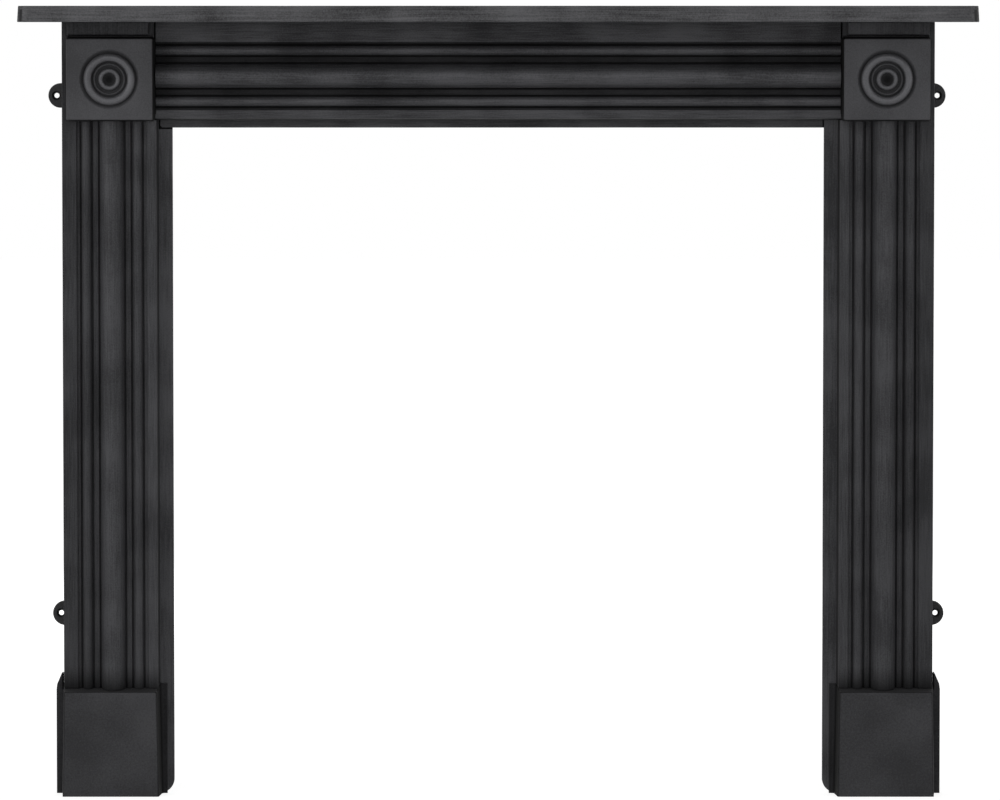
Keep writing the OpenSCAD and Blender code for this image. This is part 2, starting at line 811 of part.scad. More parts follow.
module hex_nut() {
    difference() {
        cylinder(h = nut_height, d = hex_size, $fn = 6);
        translate([0, 0, -over]) cylinder(h = nut_height + 2 * over, r = tapped_hole);
    }
}

// Shelf bolts point up through the flanges
module shelf_bolts() {
    color(steel_colour) from_wall() shelf_bolt_places()
        translate([0, 0, body_top - wall - washer_plate])
            hex_bolt(wall + washer_plate + thread_length - bolt_end_gap);
}

module shelf_washers() {
    color(steel_colour) from_wall() shelf_bolt_places()
        translate([0, 0, body_top - wall - washer_plate]) washer();
}

// Frieze bolts point outward through both flanges, heads inside the frieze
module frieze_bolt_places(side, x) {
    on_side(side) for (step = [-1, 1])
        translate([x, joint_bolt_depth, joint_bolt_z(step)]) rotate([0, 90, 0]) children();
}

module frieze_bolts(side) {
    stack = 2 * wall + 2 * washer_plate;
    color(steel_colour) frieze_bolt_places(side, joint_side - wall - washer_plate)
        hex_bolt(stack + nut_height + bolt_tail);
}

module frieze_washers(side) {
    color(steel_colour) {
        frieze_bolt_places(side, joint_side - wall - washer_plate) washer();
        frieze_bolt_places(side, joint_side + wall) washer();
    }
}

module frieze_nuts(side) {
    color(steel_colour) frieze_bolt_places(side, joint_side + wall + washer_plate) hex_nut();
}

// Block and plinth bolts point out from the wall
module block_bolt_places(side) {
    on_side(side) for (step = [-1, 1])
        translate([block_centre + step * block_bolt_spread, flat_back - washer_plate, block_middle])
            rotate([-90, 0, 0]) children();
}

module corner_block_bolts(side) {
    color(steel_colour) block_bolt_places(side) hex_bolt(wall + washer_plate + thread_length);
}

module corner_block_washers(side) {
    color(steel_colour) block_bolt_places(side) washer();
}

module plinth_bolt_places(side) {
    on_side(side) for (step = [-1, 1])
        translate([jamb_centre + step * plinth_bolt_spread, rebate_depth - washer_plate, plinth_bolt_z])
            rotate([-90, 0, 0]) children();
}

module plinth_bolts(side) {
    color(steel_colour) plinth_bolt_places(side) hex_bolt(wall + washer_plate + thread_length);
}

module plinth_washers(side) {
    color(steel_colour) plinth_bolt_places(side) washer();
}

// ---------------------------------------------------------------- the assembly

mantel_shelf();
frieze();
jamb(left);  // left_jamb
jamb(right);  // right_jamb
corner_block(left);  // left_corner_block
corner_block(right);  // right_corner_block
plinth_block(left);  // left_plinth_block
plinth_block(right);  // right_plinth_block
wall_lug(left, upper_lug_z, upper_left_lug_reach);  // upper_left_wall_lug
wall_lug(right, upper_lug_z, lug_reach);  // upper_right_wall_lug
wall_lug(left, lower_lug_height, lug_reach);  // lower_left_wall_lug
wall_lug(right, lower_lug_height, lug_reach);  // lower_right_wall_lug
shelf_bolts();
shelf_washers();
frieze_bolts(left);  // left_frieze_bolts
frieze_washers(left);  // left_frieze_washers
frieze_nuts(left);  // left_frieze_nuts
frieze_bolts(right);  // right_frieze_bolts
frieze_washers(right);  // right_frieze_washers
frieze_nuts(right);  // right_frieze_nuts
corner_block_bolts(left);  // left_corner_block_bolts
corner_block_washers(left);  // left_corner_block_washers
corner_block_bolts(right);  // right_corner_block_bolts
corner_block_washers(right);  // right_corner_block_washers
plinth_bolts(left);  // left_plinth_bolts
plinth_washers(left);  // left_plinth_washers
plinth_bolts(right);  // right_plinth_bolts
plinth_washers(right);  // right_plinth_washers
lug_screws(left);  // left_lug_screws
lug_screws(right);  // right_lug_screws
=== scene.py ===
"""Looks of a cast iron fire surround: mantel shelf, reeded frieze and jambs, bullseye corner blocks,
plinth blocks, wall lugs and the fasteners inside, round the packed model.

Metres, in the model's own frame: X across, -Y out into the room, Z up, floor at Z = 0. Most shapes are
worked out as (across, out, up), where out is the distance from the wall, and place() turns them.
"""
import math

import bmesh
import bpy
import numpy as np
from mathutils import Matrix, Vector
from bpy.props import FloatProperty, FloatVectorProperty, PointerProperty


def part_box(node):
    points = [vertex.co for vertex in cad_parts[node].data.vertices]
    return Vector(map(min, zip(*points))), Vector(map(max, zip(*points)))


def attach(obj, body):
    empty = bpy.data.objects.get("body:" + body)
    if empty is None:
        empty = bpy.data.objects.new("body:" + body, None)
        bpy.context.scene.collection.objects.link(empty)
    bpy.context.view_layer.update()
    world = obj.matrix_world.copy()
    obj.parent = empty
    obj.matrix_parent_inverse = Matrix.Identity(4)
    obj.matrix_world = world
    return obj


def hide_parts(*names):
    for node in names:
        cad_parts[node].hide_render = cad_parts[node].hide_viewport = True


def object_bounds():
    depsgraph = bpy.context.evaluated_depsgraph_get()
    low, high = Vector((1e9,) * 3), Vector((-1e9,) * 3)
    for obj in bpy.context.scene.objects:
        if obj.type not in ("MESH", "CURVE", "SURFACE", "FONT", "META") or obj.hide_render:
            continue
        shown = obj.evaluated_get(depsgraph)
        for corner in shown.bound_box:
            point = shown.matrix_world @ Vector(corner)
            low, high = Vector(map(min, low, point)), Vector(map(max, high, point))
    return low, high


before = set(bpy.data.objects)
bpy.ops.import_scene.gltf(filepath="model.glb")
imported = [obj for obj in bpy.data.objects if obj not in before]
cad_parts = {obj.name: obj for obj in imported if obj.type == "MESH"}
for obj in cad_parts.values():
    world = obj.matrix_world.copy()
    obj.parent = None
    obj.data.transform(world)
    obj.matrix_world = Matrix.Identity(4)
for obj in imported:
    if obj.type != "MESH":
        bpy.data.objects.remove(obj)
CAD_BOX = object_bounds()

bl_info = {
    "name": "Cast Iron Fire Surround",
    "version": (1, 0, 0),
    "blender": (4, 5, 0),
    "location": "View3D > Sidebar > Surround",
    "description": "Builds the castings, fasteners, finishes and studio of a cast iron fire surround",
    "category": "Add Mesh",
}

MM = 0.001
# the gap left where two castings close a joint against daylight
HAIRLINE = 0.03 * MM
SIDES = {"left": -1, "right": 1}
WALL_Y = CAD_BOX[1][1]


# ---------------------------------------------------------------- sizes

def size(name, description, millimetres):
    """A length that a user can change, with its default in millimetres."""
    return FloatProperty(name=name, description=description, default=millimetres * MM, unit="LENGTH", precision=5)


def colour(name, description, code):
    """A colour that a user can change, with its default as a hex sRGB value."""
    return FloatVectorProperty(name=name, description=description, default=linear(code), subtype="COLOR",
                               min=0, max=1)


def linear(code):
    """Linear red, green and blue of a hex sRGB value."""
    channels = np.array([int(code[i:i + 2], 16) for i in (1, 3, 5)]) / 255
    return tuple(np.where(channels <= 0.04045, channels / 12.92, ((channels + 0.055) / 1.055) ** 2.4))


class CastingSizes(bpy.types.PropertyGroup):
    """Walls, slips, mouldings and flats of the jambs and the frieze"""
    wall: size("Wall", "Thickness of the cast walls", 6)
    crown: size("Crown", "Height of the large half-round above the flats", 12)
    torus_radius: size("Half-round", "Radius of the large half-round", 16.7)
    reed_radius: size("Reed", "Radius of the small half-rounds", 6.8)
    reed_rise: size("Reed rise", "Height of the small half-rounds above the flats", 2.6)
    reed_pitch: size("Reed pitch", "From the middle of the large half-round to a small one", 35.6)
    quirk_width: size("Quirk", "Width of the groove beside each half-round", 2.3)
    quirk_sink: size("Quirk depth", "Depth of that groove below the flats", 6)
    fillet_sink: size("Fillet depth", "Depth of the narrow fillets below the flats", 3)
    jamb_edge_fillet: size("Jamb edge fillet", "Width of the edge fillets on the jambs", 4.6)
    frieze_edge_fillet: size("Frieze edge fillet", "Width of the edge fillets on the frieze", 2.6)
    slip_width: size("Slip", "Width of the jamb slip beside the opening", 19.2)
    frieze_slip: size("Frieze slip", "Height of the frieze slip above the opening", 11)
    rebate: size("Rebate", "Depth behind the slips for the fire insert", 12)
    slip_foot: size("Slip foot", "Radius at the foot of each jamb slip", 20)
    jamb_inner_flat: size("Inner flat", "Flat beside the opening on the jambs", 12.9)
    jamb_outer_flat: size("Outer flat", "Flat on the outer edge of the jambs", 20)
    frieze_lower_flat: size("Lower flat", "Flat along the lower edge of the frieze", 12.1)
    edge: size("Edge", "Radius on the long outer edges of the castings", 1.3)
    crease: size("Crease", "Radius in and beside the grooves", 0.55)
    draft: FloatProperty(name="Draft", description="Lean of the sides that leave the mould",
                         default=math.radians(4), subtype="ANGLE")
    gap: size("Gap", "Gap between neighbouring castings", 0.4)
    slip_gap: size("Slip gap", "Gap between the slips where they meet, in front of the lap", 2)
    joint_groove: size("Joint groove", "Width and depth of the groove where jamb and frieze meet", 2.4)
    lap: size("Lap", "Thickness at the back of a joint that closes it against daylight", 3)


class BlockSizes(bpy.types.PropertyGroup):
    """Corner blocks with their bullseyes, and the raised strip above them"""
    rise: size("Rise", "How far the face stands in front of the flats", 32)
    round: size("Corner", "Radius of the corners seen from the front", 2.5)
    drop: size("Drop", "How far the block hangs below the frieze's lower edge", 1.5)
    cove: size("Cove", "Outer radius of the sunk cove", 39.5)
    cove_blend: size("Cove blend", "How far past the cove the face still falls towards it", 3)
    disc_sink: size("Disc", "Depth of the sunk disc", 2.6)
    outer_ring: size("Outer ring", "Radius to the middle of the outer ring", 30.4)
    outer_roll: size("Outer roll", "Radius of the outer ring's roll", 5.7)
    outer_rise: size("Outer rise", "Height of the outer ring above the face", 3.7)
    bead_ring: size("Bead ring", "Radius of the thin bead between the rings", 21)
    bead_roll: size("Bead roll", "Radius of the bead's own roll", 1.4)
    inner_ring: size("Inner ring", "Radius to the middle of the inner ring", 12)
    inner_roll: size("Inner roll", "Radius of the inner ring's roll", 3.5)
    inner_rise: size("Inner rise", "Height of the inner ring above the face", 1.4)
    dimple: size("Dimple", "Depth of the centre below the face", 4.2)
    strip_gap: size("Strip gap", "Gap between the block and the strip above it", 2)
    strip_rise: size("Strip rise", "How far the strip stands in front of the flats", 12)
    strip_inset: size("Strip inset", "How far the strip stops short of the block's inner edge", 6.9)


class PlinthSizes(bpy.types.PropertyGroup):
    """Plinth blocks at the foot of each jamb"""
    height: size("Height", "Height of the front face", 147)
    slope: FloatProperty(name="Slope", description="Slope of the top", default=math.radians(10), subtype="ANGLE")
    batter: size("Batter", "How much wider each side is at the floor than at the top", 2.5)
    inset: size("Inset", "Inset of the front face from the jamb's front edges", 0.8)
    corner: size("Corner", "Radius of the front's edges", 1.7)
    cove: size("Cove", "Radius in the corner between the block and its inner wing", 5)
    shoulder: size("Shoulder", "Height of the sloping shoulder on the outer wing", 15)
    clear: size("Clearance", "Gap between the outer wing and the jamb", 0.8)


class ShelfSizes(bpy.types.PropertyGroup):
    """Mantel shelf"""
    plate: size("Plate", "Thickness of the plate", 8)
    rim: size("Rim", "Thickness of the turned-down rim", 8)
    flare: size("Flare", "How much wider the rim is at the bottom than at the top", 1.4)
    corner: size("Corner", "Radius of the front corners seen from above", 18)
    rib_rise: size("Rib rise", "Height of the cross ribs above the rim's foot", 7.5)
    edge: size("Edge", "Radius on the rim's edges", 1.5)


class LugSizes(bpy.types.PropertyGroup):
    """Wall lugs"""
    plate: size("Plate", "Thickness of a lug", 6)
    hole: size("Hole", "Radius of the wall screw's hole", 3.6)
    sink: size("Countersink", "Radius of the countersink at the front", 6.8)
    hole_inset: size("Hole inset", "From the tip of a lug to its hole", 11.9)
    edge: size("Edge", "Radius on the lug's cast edge", 1.2)


class FastenerSizes(bpy.types.PropertyGroup):
    """Bolts, nuts, washers, screws and the bosses that take them"""
    bolt: size("Bolt", "Radius of the bolts and screws", 4)
    clearance: size("Clearance", "Extra radius of a clearance hole", 0.5)
    tapped: size("Tapped", "Extra radius of a tapped hole", 0.05)
    head: size("Head", "Thickness of a bolt head", 5.3)
    nut: size("Nut", "Thickness of a nut", 6.5)
    hexagon: size("Hexagon", "Size of the heads and nuts across their corners", 15)
    washer: size("Washer", "Outer radius of the washers", 8)
    washer_plate: size("Washer plate", "Thickness of the washers", 1.6)
    thread: size("Thread", "Length of thread in a tapped boss", 12)
    pitch: size("Pitch", "Rise of one turn of the thread", 1.25)
    boss: size("Boss", "Outer radius of the tapped bosses", 11)
    block_boss: size("Block boss", "Outer radius of the bosses in the corner blocks", 9)
    joint_spread: size("Joint spread", "From the middle of the frieze's end to its bolts", 36)
    block_spread: size("Block spread", "From the middle of a block to its bolts", 38)
    plinth_spread: size("Plinth spread", "From the middle of a jamb to its plinth's bolts", 36)


class FinishColours(bpy.types.PropertyGroup):
    """Colours of the iron, the steel and the studio"""
    polished: colour("Polished iron", "Graphite polish where it is buffed most", "#5e5e61")
    shelf: colour("Shelf", "Graphite polish on the linished shelf, where it is buffed most", "#555557")
    rough: colour("Cast back", "Sand-cast skin at the back, painted black", "#262627")
    lug: colour("Lugs", "Dull black paint on the lugs", "#2c2c2d")
    black_steel: colour("Black steel", "Black oxide on the bolts, nuts and screws", "#333338")
    zinc: colour("Zinc", "Zinc plating on the washers", "#a9abac")
    studio: colour("Studio", "Floor and backdrop", "#f4f4f4")


GROUPS = {
    "surround_castings": CastingSizes, "surround_blocks": BlockSizes, "surround_plinths": PlinthSizes,
    "surround_shelf": ShelfSizes, "surround_lugs": LugSizes, "surround_fasteners": FastenerSizes,
    "surround_colours": FinishColours,
}


class Places:
    """Places that several pieces share, from the packed model's boxes and the sizes."""

    def __init__(self, scene):
        c, b, p, f = scene.surround_castings, scene.surround_blocks, scene.surround_plinths, scene.surround_fasteners
        jamb_low, jamb_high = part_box("right_jamb")
        frieze_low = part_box("frieze")[0]
        block_low, block_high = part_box("right_corner_block")
        plinth_low, plinth_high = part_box("right_plinth_block")
        self.lean = math.tan(c.draft)
        # out from the wall
        self.body = WALL_Y - frieze_low.y - c.crown
        self.slip_front = c.rebate + c.wall
        self.flat_back = self.body - c.wall
        self.quirk = self.body - c.quirk_sink
        self.fillet = self.body - c.fillet_sink
        self.core = self.quirk - c.wall
        self.block_front = self.body + b.rise
        self.plinth_front = WALL_Y - plinth_low.y
        self.wing_front = self.slip_front + c.wall
        # across
        self.opening = jamb_low.x
        self.slip_back = self.opening + c.slip_width
        self.inner = self.slip_back + (self.body - self.slip_front) * self.lean
        self.outer_wall = jamb_high.x
        self.outer = self.outer_wall - self.body * self.lean
        self.reed_edge = c.reed_pitch + c.reed_radius + c.quirk_width
        self.jamb_half = self.reed_edge + c.jamb_edge_fillet
        self.frieze_half = self.reed_edge + c.frieze_edge_fillet
        self.centre = self.inner + c.jamb_inner_flat + self.jamb_half
        self.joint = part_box("frieze")[1].x
        self.wing_inner = plinth_low.x
        self.wing_outer = plinth_high.x
        self.plinth_inner = self.inner + p.inset
        self.plinth_outer = self.outer - p.inset
        # up
        self.opening_top = frieze_low.z
        self.slip_top = self.opening_top + c.frieze_slip
        self.frieze_bottom = self.slip_top + (self.body - self.slip_front) * self.lean
        self.frieze_centre = self.frieze_bottom + c.frieze_lower_flat + self.frieze_half
        self.top = jamb_high.z
        self.shelf_top = CAD_BOX[1][2]
        self.head_bottom = self.slip_top - HAIRLINE
        # corner block
        run = b.rise * self.lean
        self.block_run = run
        self.block_x = (block_low.x + block_high.x) / 2
        self.block_z = (block_low.z + block_high.z) / 2
        self.block_half_x = (block_high.x - block_low.x) / 2 - run
        self.block_half_z = (block_high.z - block_low.z) / 2 - run
        # plinth's top, highest at the wall
        self.plinth_height = p.height
        self.plinth_slope = math.tan(p.slope)
        # fixings
        self.joint_depth = (c.rebate + self.flat_back) / 2
        self.joint_z = (self.frieze_bottom + self.top) / 2
        self.plinth_bolt_z = p.height / 2
        self.shelf_bolts = self.opening / 2
        self.lug_screw = self.outer_wall - c.wall - f.boss
        self.lug_z = {level: sum(corner.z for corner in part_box(f"{level}_right_wall_lug")) / 2
                      for level in ("upper", "lower")}

    def plinth_top(self, out):
        """Height of the plinth's sloping top at a distance out from the wall."""
        return self.plinth_height + (self.plinth_front - out) * self.plinth_slope


# ---------------------------------------------------------------- shapes

def place(across, out, up):
    """Points of the frame from places across, out from the wall, and up."""
    return np.stack(np.broadcast_arrays(across, WALL_Y - out, up), axis=-1)


def arc(x, y, radius, start, end, steps=16):
    """An arc about (x, y), from one angle in degrees to another, as rows of (x, y, corner radius 0)."""
    angle = np.radians(np.linspace(start, end, steps + 1))
    return np.stack([x + radius * np.cos(angle), y + radius * np.sin(angle), 0 * angle], axis=1)


def rounded(corners, closed=True, steps=6):
    """Rounds the corners of a line given as rows of (x, y, radius). Each corner becomes a parabola that
    touches its two sides at radius * tan(half the turn) from the corner, or halfway along a short side."""
    corners = np.asarray(corners, float)
    spot, radius = corners[:, :2], corners[:, 2]
    before = spot - np.roll(spot, 1, axis=0)
    after = np.roll(spot, -1, axis=0) - spot
    long_before = np.maximum(np.linalg.norm(before, axis=1), 1e-9)
    long_after = np.maximum(np.linalg.norm(after, axis=1), 1e-9)
    before = before / long_before[:, None]
    after = after / long_after[:, None]
    half_turn = np.arccos(np.clip((before * after).sum(axis=1), -1, 1)) / 2
    reach = np.minimum(radius * np.tan(half_turn), 0.49 * np.minimum(long_before, long_after))
    if not closed:
        reach[[0, -1]] = 0
    share = np.linspace(0, 1, steps)[None, :, None]
    start = (spot - before * reach[:, None])[:, None]
    end = (spot + after * reach[:, None])[:, None]
    line = ((1 - share) ** 2 * start + 2 * share * (1 - share) * spot[:, None] + share ** 2 * end).reshape(-1, 2)
    return line[np.linalg.norm(line - np.roll(line, 1, axis=0), axis=1) > 1e-7]


def refine(line, spacing, closed=True):
    """Splits each stretch of a line evenly, so that none is longer than spacing."""
    ends = np.roll(line, -1, axis=0) if closed else line[1:]
    starts = line if closed else line[:-1]
    pieces = np.maximum(1, np.ceil(np.linalg.norm(ends - starts, axis=1) / spacing)).astype(int)
    stretch = np.repeat(np.arange(len(starts)), pieces)
    first = np.repeat(np.cumsum(pieces) - pieces, pieces)
    share = ((np.arange(len(stretch)) - first) / pieces[stretch])[:, None]
    fine = starts[stretch] * (1 - share) + ends[stretch] * share
    return fine if closed else np.vstack([fine, line[-1:]])


def solid(rings, ends="caps"):
    """A closed mesh object from rings of points, an array of rings x points x 3, or of copies x rings x
    points x 3. Ends: "caps" closes the first and last ring with a face, "poles" expects each of them to be
    one point, "loop" joins the last ring to the first, and "open" leaves them, for a sheet."""
    rings = rings.reshape((-1,) + rings.shape[-3:])
    copies, levels, around = rings.shape[:3]
    level = np.arange(levels if ends == "loop" else levels - 1)[:, None]
    spot = np.arange(around)[None, :]
    above = (level + 1) % levels
    beside = (spot + 1) % around
    quads = np.stack([level * around + spot, level * around + beside,
                      above * around + beside, above * around + spot], axis=-1).reshape(-1, 4)
    start = (np.arange(copies) * levels * around)[:, None, None]
    faces = (quads + start).reshape(-1, 4).tolist()
    if ends == "caps":
        caps = np.stack([np.arange(around)[::-1], (levels - 1) * around + np.arange(around)])
        faces += (caps + start).reshape(-1, around).tolist()
    mesh = bpy.data.meshes.new("solid")
    mesh.from_pydata(rings.reshape(-1, 3), [], faces)
    tidy = bmesh.new()
    tidy.from_mesh(mesh)
    bmesh.ops.remove_doubles(tidy, verts=tidy.verts, dist=1e-6)
    bmesh.ops.recalc_face_normals(tidy, faces=tidy.faces)
    tidy.to_mesh(mesh)
    tidy.free()
    piece = bpy.data.objects.new("solid", mesh)
    bpy.context.scene.collection.objects.link(piece)
    return piece


def stations(start, stop, spacing):
    """Evenly spaced places from start to stop, no further apart than spacing."""
    return np.linspace(start, stop, max(2, int(math.ceil(abs(stop - start) / spacing)) + 1))


def upright(outline, low, high, spacing=0.3):
    """A plan outline, rows of (across, out), carried straight up."""
    return solid(place(outline[None, :, 0], outline[None, :, 1], stations(low, high, spacing)[:, None]))


def sideways(outline, start, stop, spacing=0.3):
    """A cross section, rows of (out, up), carried straight across."""
    return solid(place(stations(start, stop, spacing)[:, None], outline[None, :, 0], outline[None, :, 1]))


def outward(outline, start, stop, spacing=0.3):
    """A front view, rows of (across, up), carried straight out from the wall."""
    return solid(place(outline[None, :, 0], stations(start, stop, spacing)[:, None], outline[None, :, 1]))


def rectangle(left, low, right, high):
    """Corners of a rectangle."""
    return np.array([[left, low], [right, low], [right, high], [left, high]])


def circle(x, y, radius, steps=48):
    """Points round a circle."""
    return arc(x, y, radius, 0, 360 - 360 / steps, steps - 1)[:, :2]


def combine(piece, others, operation):
    """Joins ("UNION") or cuts ("DIFFERENCE") a piece with other closed solids, which are then dropped."""
    for other in others:
        step = piece.modifiers.new(operation, "BOOLEAN")
        step.operation = operation
        step.solver = "MANIFOLD"
        step.object = other
    mesh = bpy.data.meshes.new_from_object(piece.evaluated_get(bpy.context.evaluated_depsgraph_get()))
    piece.modifiers.clear()
    piece.data = mesh
    for other in others:
        bpy.data.objects.remove(other)
    return piece


def mirrored(piece, side):
    """Turns a right-hand piece into a left-hand one where side is -1, with its faces outwards."""
    if side < 0:
        edit = bmesh.new()
        edit.from_mesh(piece.data)
        bmesh.ops.scale(edit, vec=(-1, 1, 1), verts=edit.verts)
        bmesh.ops.reverse_faces(edit, faces=edit.faces)
        edit.to_mesh(piece.data)
        edit.free()
    return piece


def wander(points):
    """How far a casting's skin strays from the pattern: sums of long sine waves in three directions, whose
    lengths are from 70 to 400 mm, up to about 0.15 mm either way."""
    waves = np.array([[31, 12, 9], [-14, 25, 41], [52, -17, 6], [9, 30, -68], [-77, 20, 15], [12, -26, 88]])
    phase = points @ waves.T + np.array([0.3, 1.7, 2.9, 4.1, 5.2, 0.9])
    lean = np.array([[0.3, 1, 0.2], [-0.4, 0.8, 0.3], [0.2, 0.9, -0.5], [0.5, -0.7, 0.4], [0.1, 0.6, 0.5],
                     [-0.3, 0.5, 0.1]])
    return 0.045 * MM * np.sin(phase) @ lean


def vertices(mesh):
    """All vertex places of a mesh as one array."""
    flat = np.empty(len(mesh.vertices) * 3)
    mesh.vertices.foreach_get("co", flat)
    return flat.reshape(-1, 3)


def finish(piece, name, nodes, materials, rough=None, smooth=32, cast=True):
    """Gives a piece its name, its place in the assembly and its finish. Its skin wanders as a casting's
    does, inside the box of the nodes that it replaces. rough(centres, normals) picks the faces that take
    the second material."""
    mesh = piece.data
    piece.name = name
    mesh.name = name
    if cast:
        corners = [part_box(node) for node in nodes]
        low = np.min([corner[0] for corner in corners], axis=0)
        high = np.max([corner[1] for corner in corners], axis=0)
        points = vertices(mesh)
        mesh.vertices.foreach_set("co", np.clip(points + wander(points), low, high).ravel())
    mesh.materials.clear()
    for material in materials:
        mesh.materials.append(material)
    index = np.zeros(len(mesh.polygons), dtype=np.int32)
    if rough:
        centres = np.empty(len(mesh.polygons) * 3)
        normals = np.empty(len(mesh.polygons) * 3)
        mesh.polygons.foreach_get("center", centres)
        mesh.polygons.foreach_get("normal", normals)
        index[rough(centres.reshape(-1, 3), normals.reshape(-1, 3))] = 1
    mesh.polygons.foreach_set("material_index", index)
    mesh.shade_smooth()
    mesh.set_sharp_from_angle(angle=math.radians(smooth))
    mesh.update()
    weigh = piece.modifiers.new("Weighted normals", "WEIGHTED_NORMAL")
    weigh.keep_sharp = True
    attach(piece, "root")
    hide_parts(*nodes)
    return piece


# ---------------------------------------------------------------- mouldings

def moulding(c, at, half, edge_fillet):
    """Corners of the reeded moulding from one flat to the other, as rows of (place from its middle, out,
    radius): a half-round with a groove on each side, a fillet, a reed between grooves, and an edge fillet.
    The right half is written out and the left half is its mirror image."""
    torus = arc(0, at.body + c.crown - c.torus_radius, c.torus_radius, 90, 0, 30)
    reed = arc(c.reed_pitch, at.body + c.reed_rise - c.reed_radius, c.reed_radius, 180, 0, 28)
    near = c.torus_radius + c.quirk_width
    far = c.reed_pitch - c.reed_radius - c.quirk_width
    lean = 0.25 * MM
    right = np.vstack([
        torus,
        [[c.torus_radius, at.quirk, c.crease / 2], [near, at.quirk, c.crease],
         [near + lean, at.fillet, c.crease], [far - lean, at.fillet, c.crease],
         [far, at.quirk, c.crease], [c.reed_pitch - c.reed_radius, at.quirk, c.crease / 2]],
        reed,
        [[c.reed_pitch + c.reed_radius, at.quirk, c.crease / 2], [at.reed_edge, at.quirk, c.crease],
         [at.reed_edge + lean, at.fillet, c.crease], [half - lean, at.fillet, c.crease],
         [half, at.body, c.edge]],
    ])
    return np.vstack([right[::-1] * [-1, 1, 1], right[1:]])


def core(c, at, half):
    """Corners of the back of the moulding, from right to left: level, with a round core behind the
    half-round."""
    hollow = arc(0, at.core, c.torus_radius - c.wall, 0, 180, 20)
    return np.vstack([[[half + c.wall, at.core, c.edge]], hollow, [[-half - c.wall, at.core, c.edge]]])


def jamb_section(c, at):
    """Plan outline of a jamb: slip, inner return, moulded front, outer return, and the cored back."""
    front = moulding(c, at, at.jamb_half, c.jamb_edge_fillet) + [at.centre, 0, 0]
    back = core(c, at, at.jamb_half) + [at.centre, 0, 0]
    outline = np.vstack([
        [[at.opening, c.rebate, 0.3 * MM], [at.opening, at.slip_front, c.edge],
         [at.slip_back, at.slip_front, c.crease], [at.inner, at.body, c.edge]],
        front,
        [[at.outer, at.body, c.edge], [at.outer_wall, 0, 0.3 * MM], [at.outer_wall - c.wall, 0, 0.3 * MM],
         [at.outer - c.wall, at.flat_back, c.edge],
         [at.centre + at.jamb_half + c.wall, at.flat_back, c.edge]],
        back,
        [[at.slip_back + c.wall, c.rebate, c.edge]],
    ])
    return refine(rounded(outline), 5 * MM)


def frieze_section(c, at):
    """Cross section of the frieze, as (out, up): slip, bottom return, moulded front, top flange, back."""
    turn = [[0, 1, 0], [1, 0, 0], [0, 0, 1]]
    front = moulding(c, at, at.frieze_half, c.frieze_edge_fillet) @ turn + [0, at.frieze_centre, 0]
    back = core(c, at, at.frieze_half) @ turn + [0, at.frieze_centre, 0]
    flat_start = at.frieze_centre + at.frieze_half
    outline = np.vstack([
        [[c.rebate, at.opening_top, 0.3 * MM], [at.slip_front, at.opening_top, c.edge],
         [at.slip_front, at.slip_top, c.crease], [at.body, at.frieze_bottom, c.edge]],
        front,
        [[at.body, at.top, 0.3 * MM], [c.rebate, at.top, 0.3 * MM], [c.rebate, at.top - c.wall, 0.3 * MM],
         [at.flat_back, at.top - c.wall, c.edge], [at.flat_back, flat_start + c.wall, c.edge]],
        back,
        [[c.rebate, at.slip_top + c.wall, c.edge]],
    ])
    return refine(rounded(outline), 5 * MM)


def round_rectangle(left, low, right, high, radius, along=20, turn=8):
    """Points round a rectangle with round corners: a quarter circle at each corner, from the lower right one
    on, and evenly spaced points along each side. A size or inset changes no point's share of the way round,
    so rings of several sizes join up. radius is one value or one for each corner."""
    radius = np.broadcast_to(radius, 4)[:, None]
    angle = np.radians(np.arange(4)[:, None] * 90 - 90 + np.linspace(0, 90, turn + 1)[None, :])
    centre_x = np.array([right, right, left, left])[:, None] + radius * np.array([[-1], [-1], [1], [1]])
    centre_y = np.array([low, high, high, low])[:, None] + radius * np.array([[1], [-1], [-1], [1]])
    corner = np.stack([centre_x + radius * np.cos(angle), centre_y + radius * np.sin(angle)], axis=-1)
    share = np.linspace(0, 1, along + 2)[None, 1:-1, None]
    side = corner[:, -1:] * (1 - share) + np.roll(corner, -1, axis=0)[:, :1] * share
    return np.concatenate([corner, side], axis=1).reshape(-1, 2)


def turned(x, z, profile, around=48):
    """A round bar or cutter that points out from the wall: circles of the radii in profile, rows of
    (out, radius), about the place (x, z)."""
    out, radius = np.asarray(profile, float).T[:, :, None]
    angle = np.linspace(0, 2 * np.pi, around, endpoint=False)
    return solid(place(x + radius * np.cos(angle), out, z + radius * np.sin(angle)))


def bar(x, z, start, stop, radius):
    """A plain round bar or cutter that points out from the wall."""
    return turned(x, z, [[start, radius], [stop, radius]])


def softened(piece, radius):
    """Rounds every edge of a simple solid."""
    bevel = piece.modifiers.new("Edges", "BEVEL")
    bevel.width = radius
    bevel.segments = 3
    bevel.limit_method = "ANGLE"
    piece.data = bpy.data.meshes.new_from_object(piece.evaluated_get(bpy.context.evaluated_depsgraph_get()))
    piece.modifiers.clear()
    return piece


def block_body(at, b, grow=0):
    """The corner block's outside as a plain drafted solid, grown all round by a gap, which cuts the
    mouldings back behind it."""
    stop = at.block_front + grow
    out = np.array([at.body, stop])
    half = np.array([at.block_run, 0]) + grow
    rings = [round_rectangle(-at.block_half_x - h, -at.block_half_z - h, at.block_half_x + h,
                             at.block_half_z + h, b.round + h) for h in half]
    rings = np.array(rings)
    return solid(place(at.block_x + rings[:, :, 0], out[:, None], at.block_z + rings[:, :, 1]))


def plinth_space(at, gap):
    """Everything in front of a jamb's foot plate and below the sloping top of its plinth."""
    margin = 20 * MM
    front = at.plinth_front + margin
    return sideways(np.array([[at.slip_front, -margin], [front, -margin], [front, at.plinth_top(front) + gap],
                              [at.slip_front, at.plinth_top(at.slip_front) + gap]]),
                    at.opening - margin, at.wing_outer + margin)


# ---------------------------------------------------------------- castings

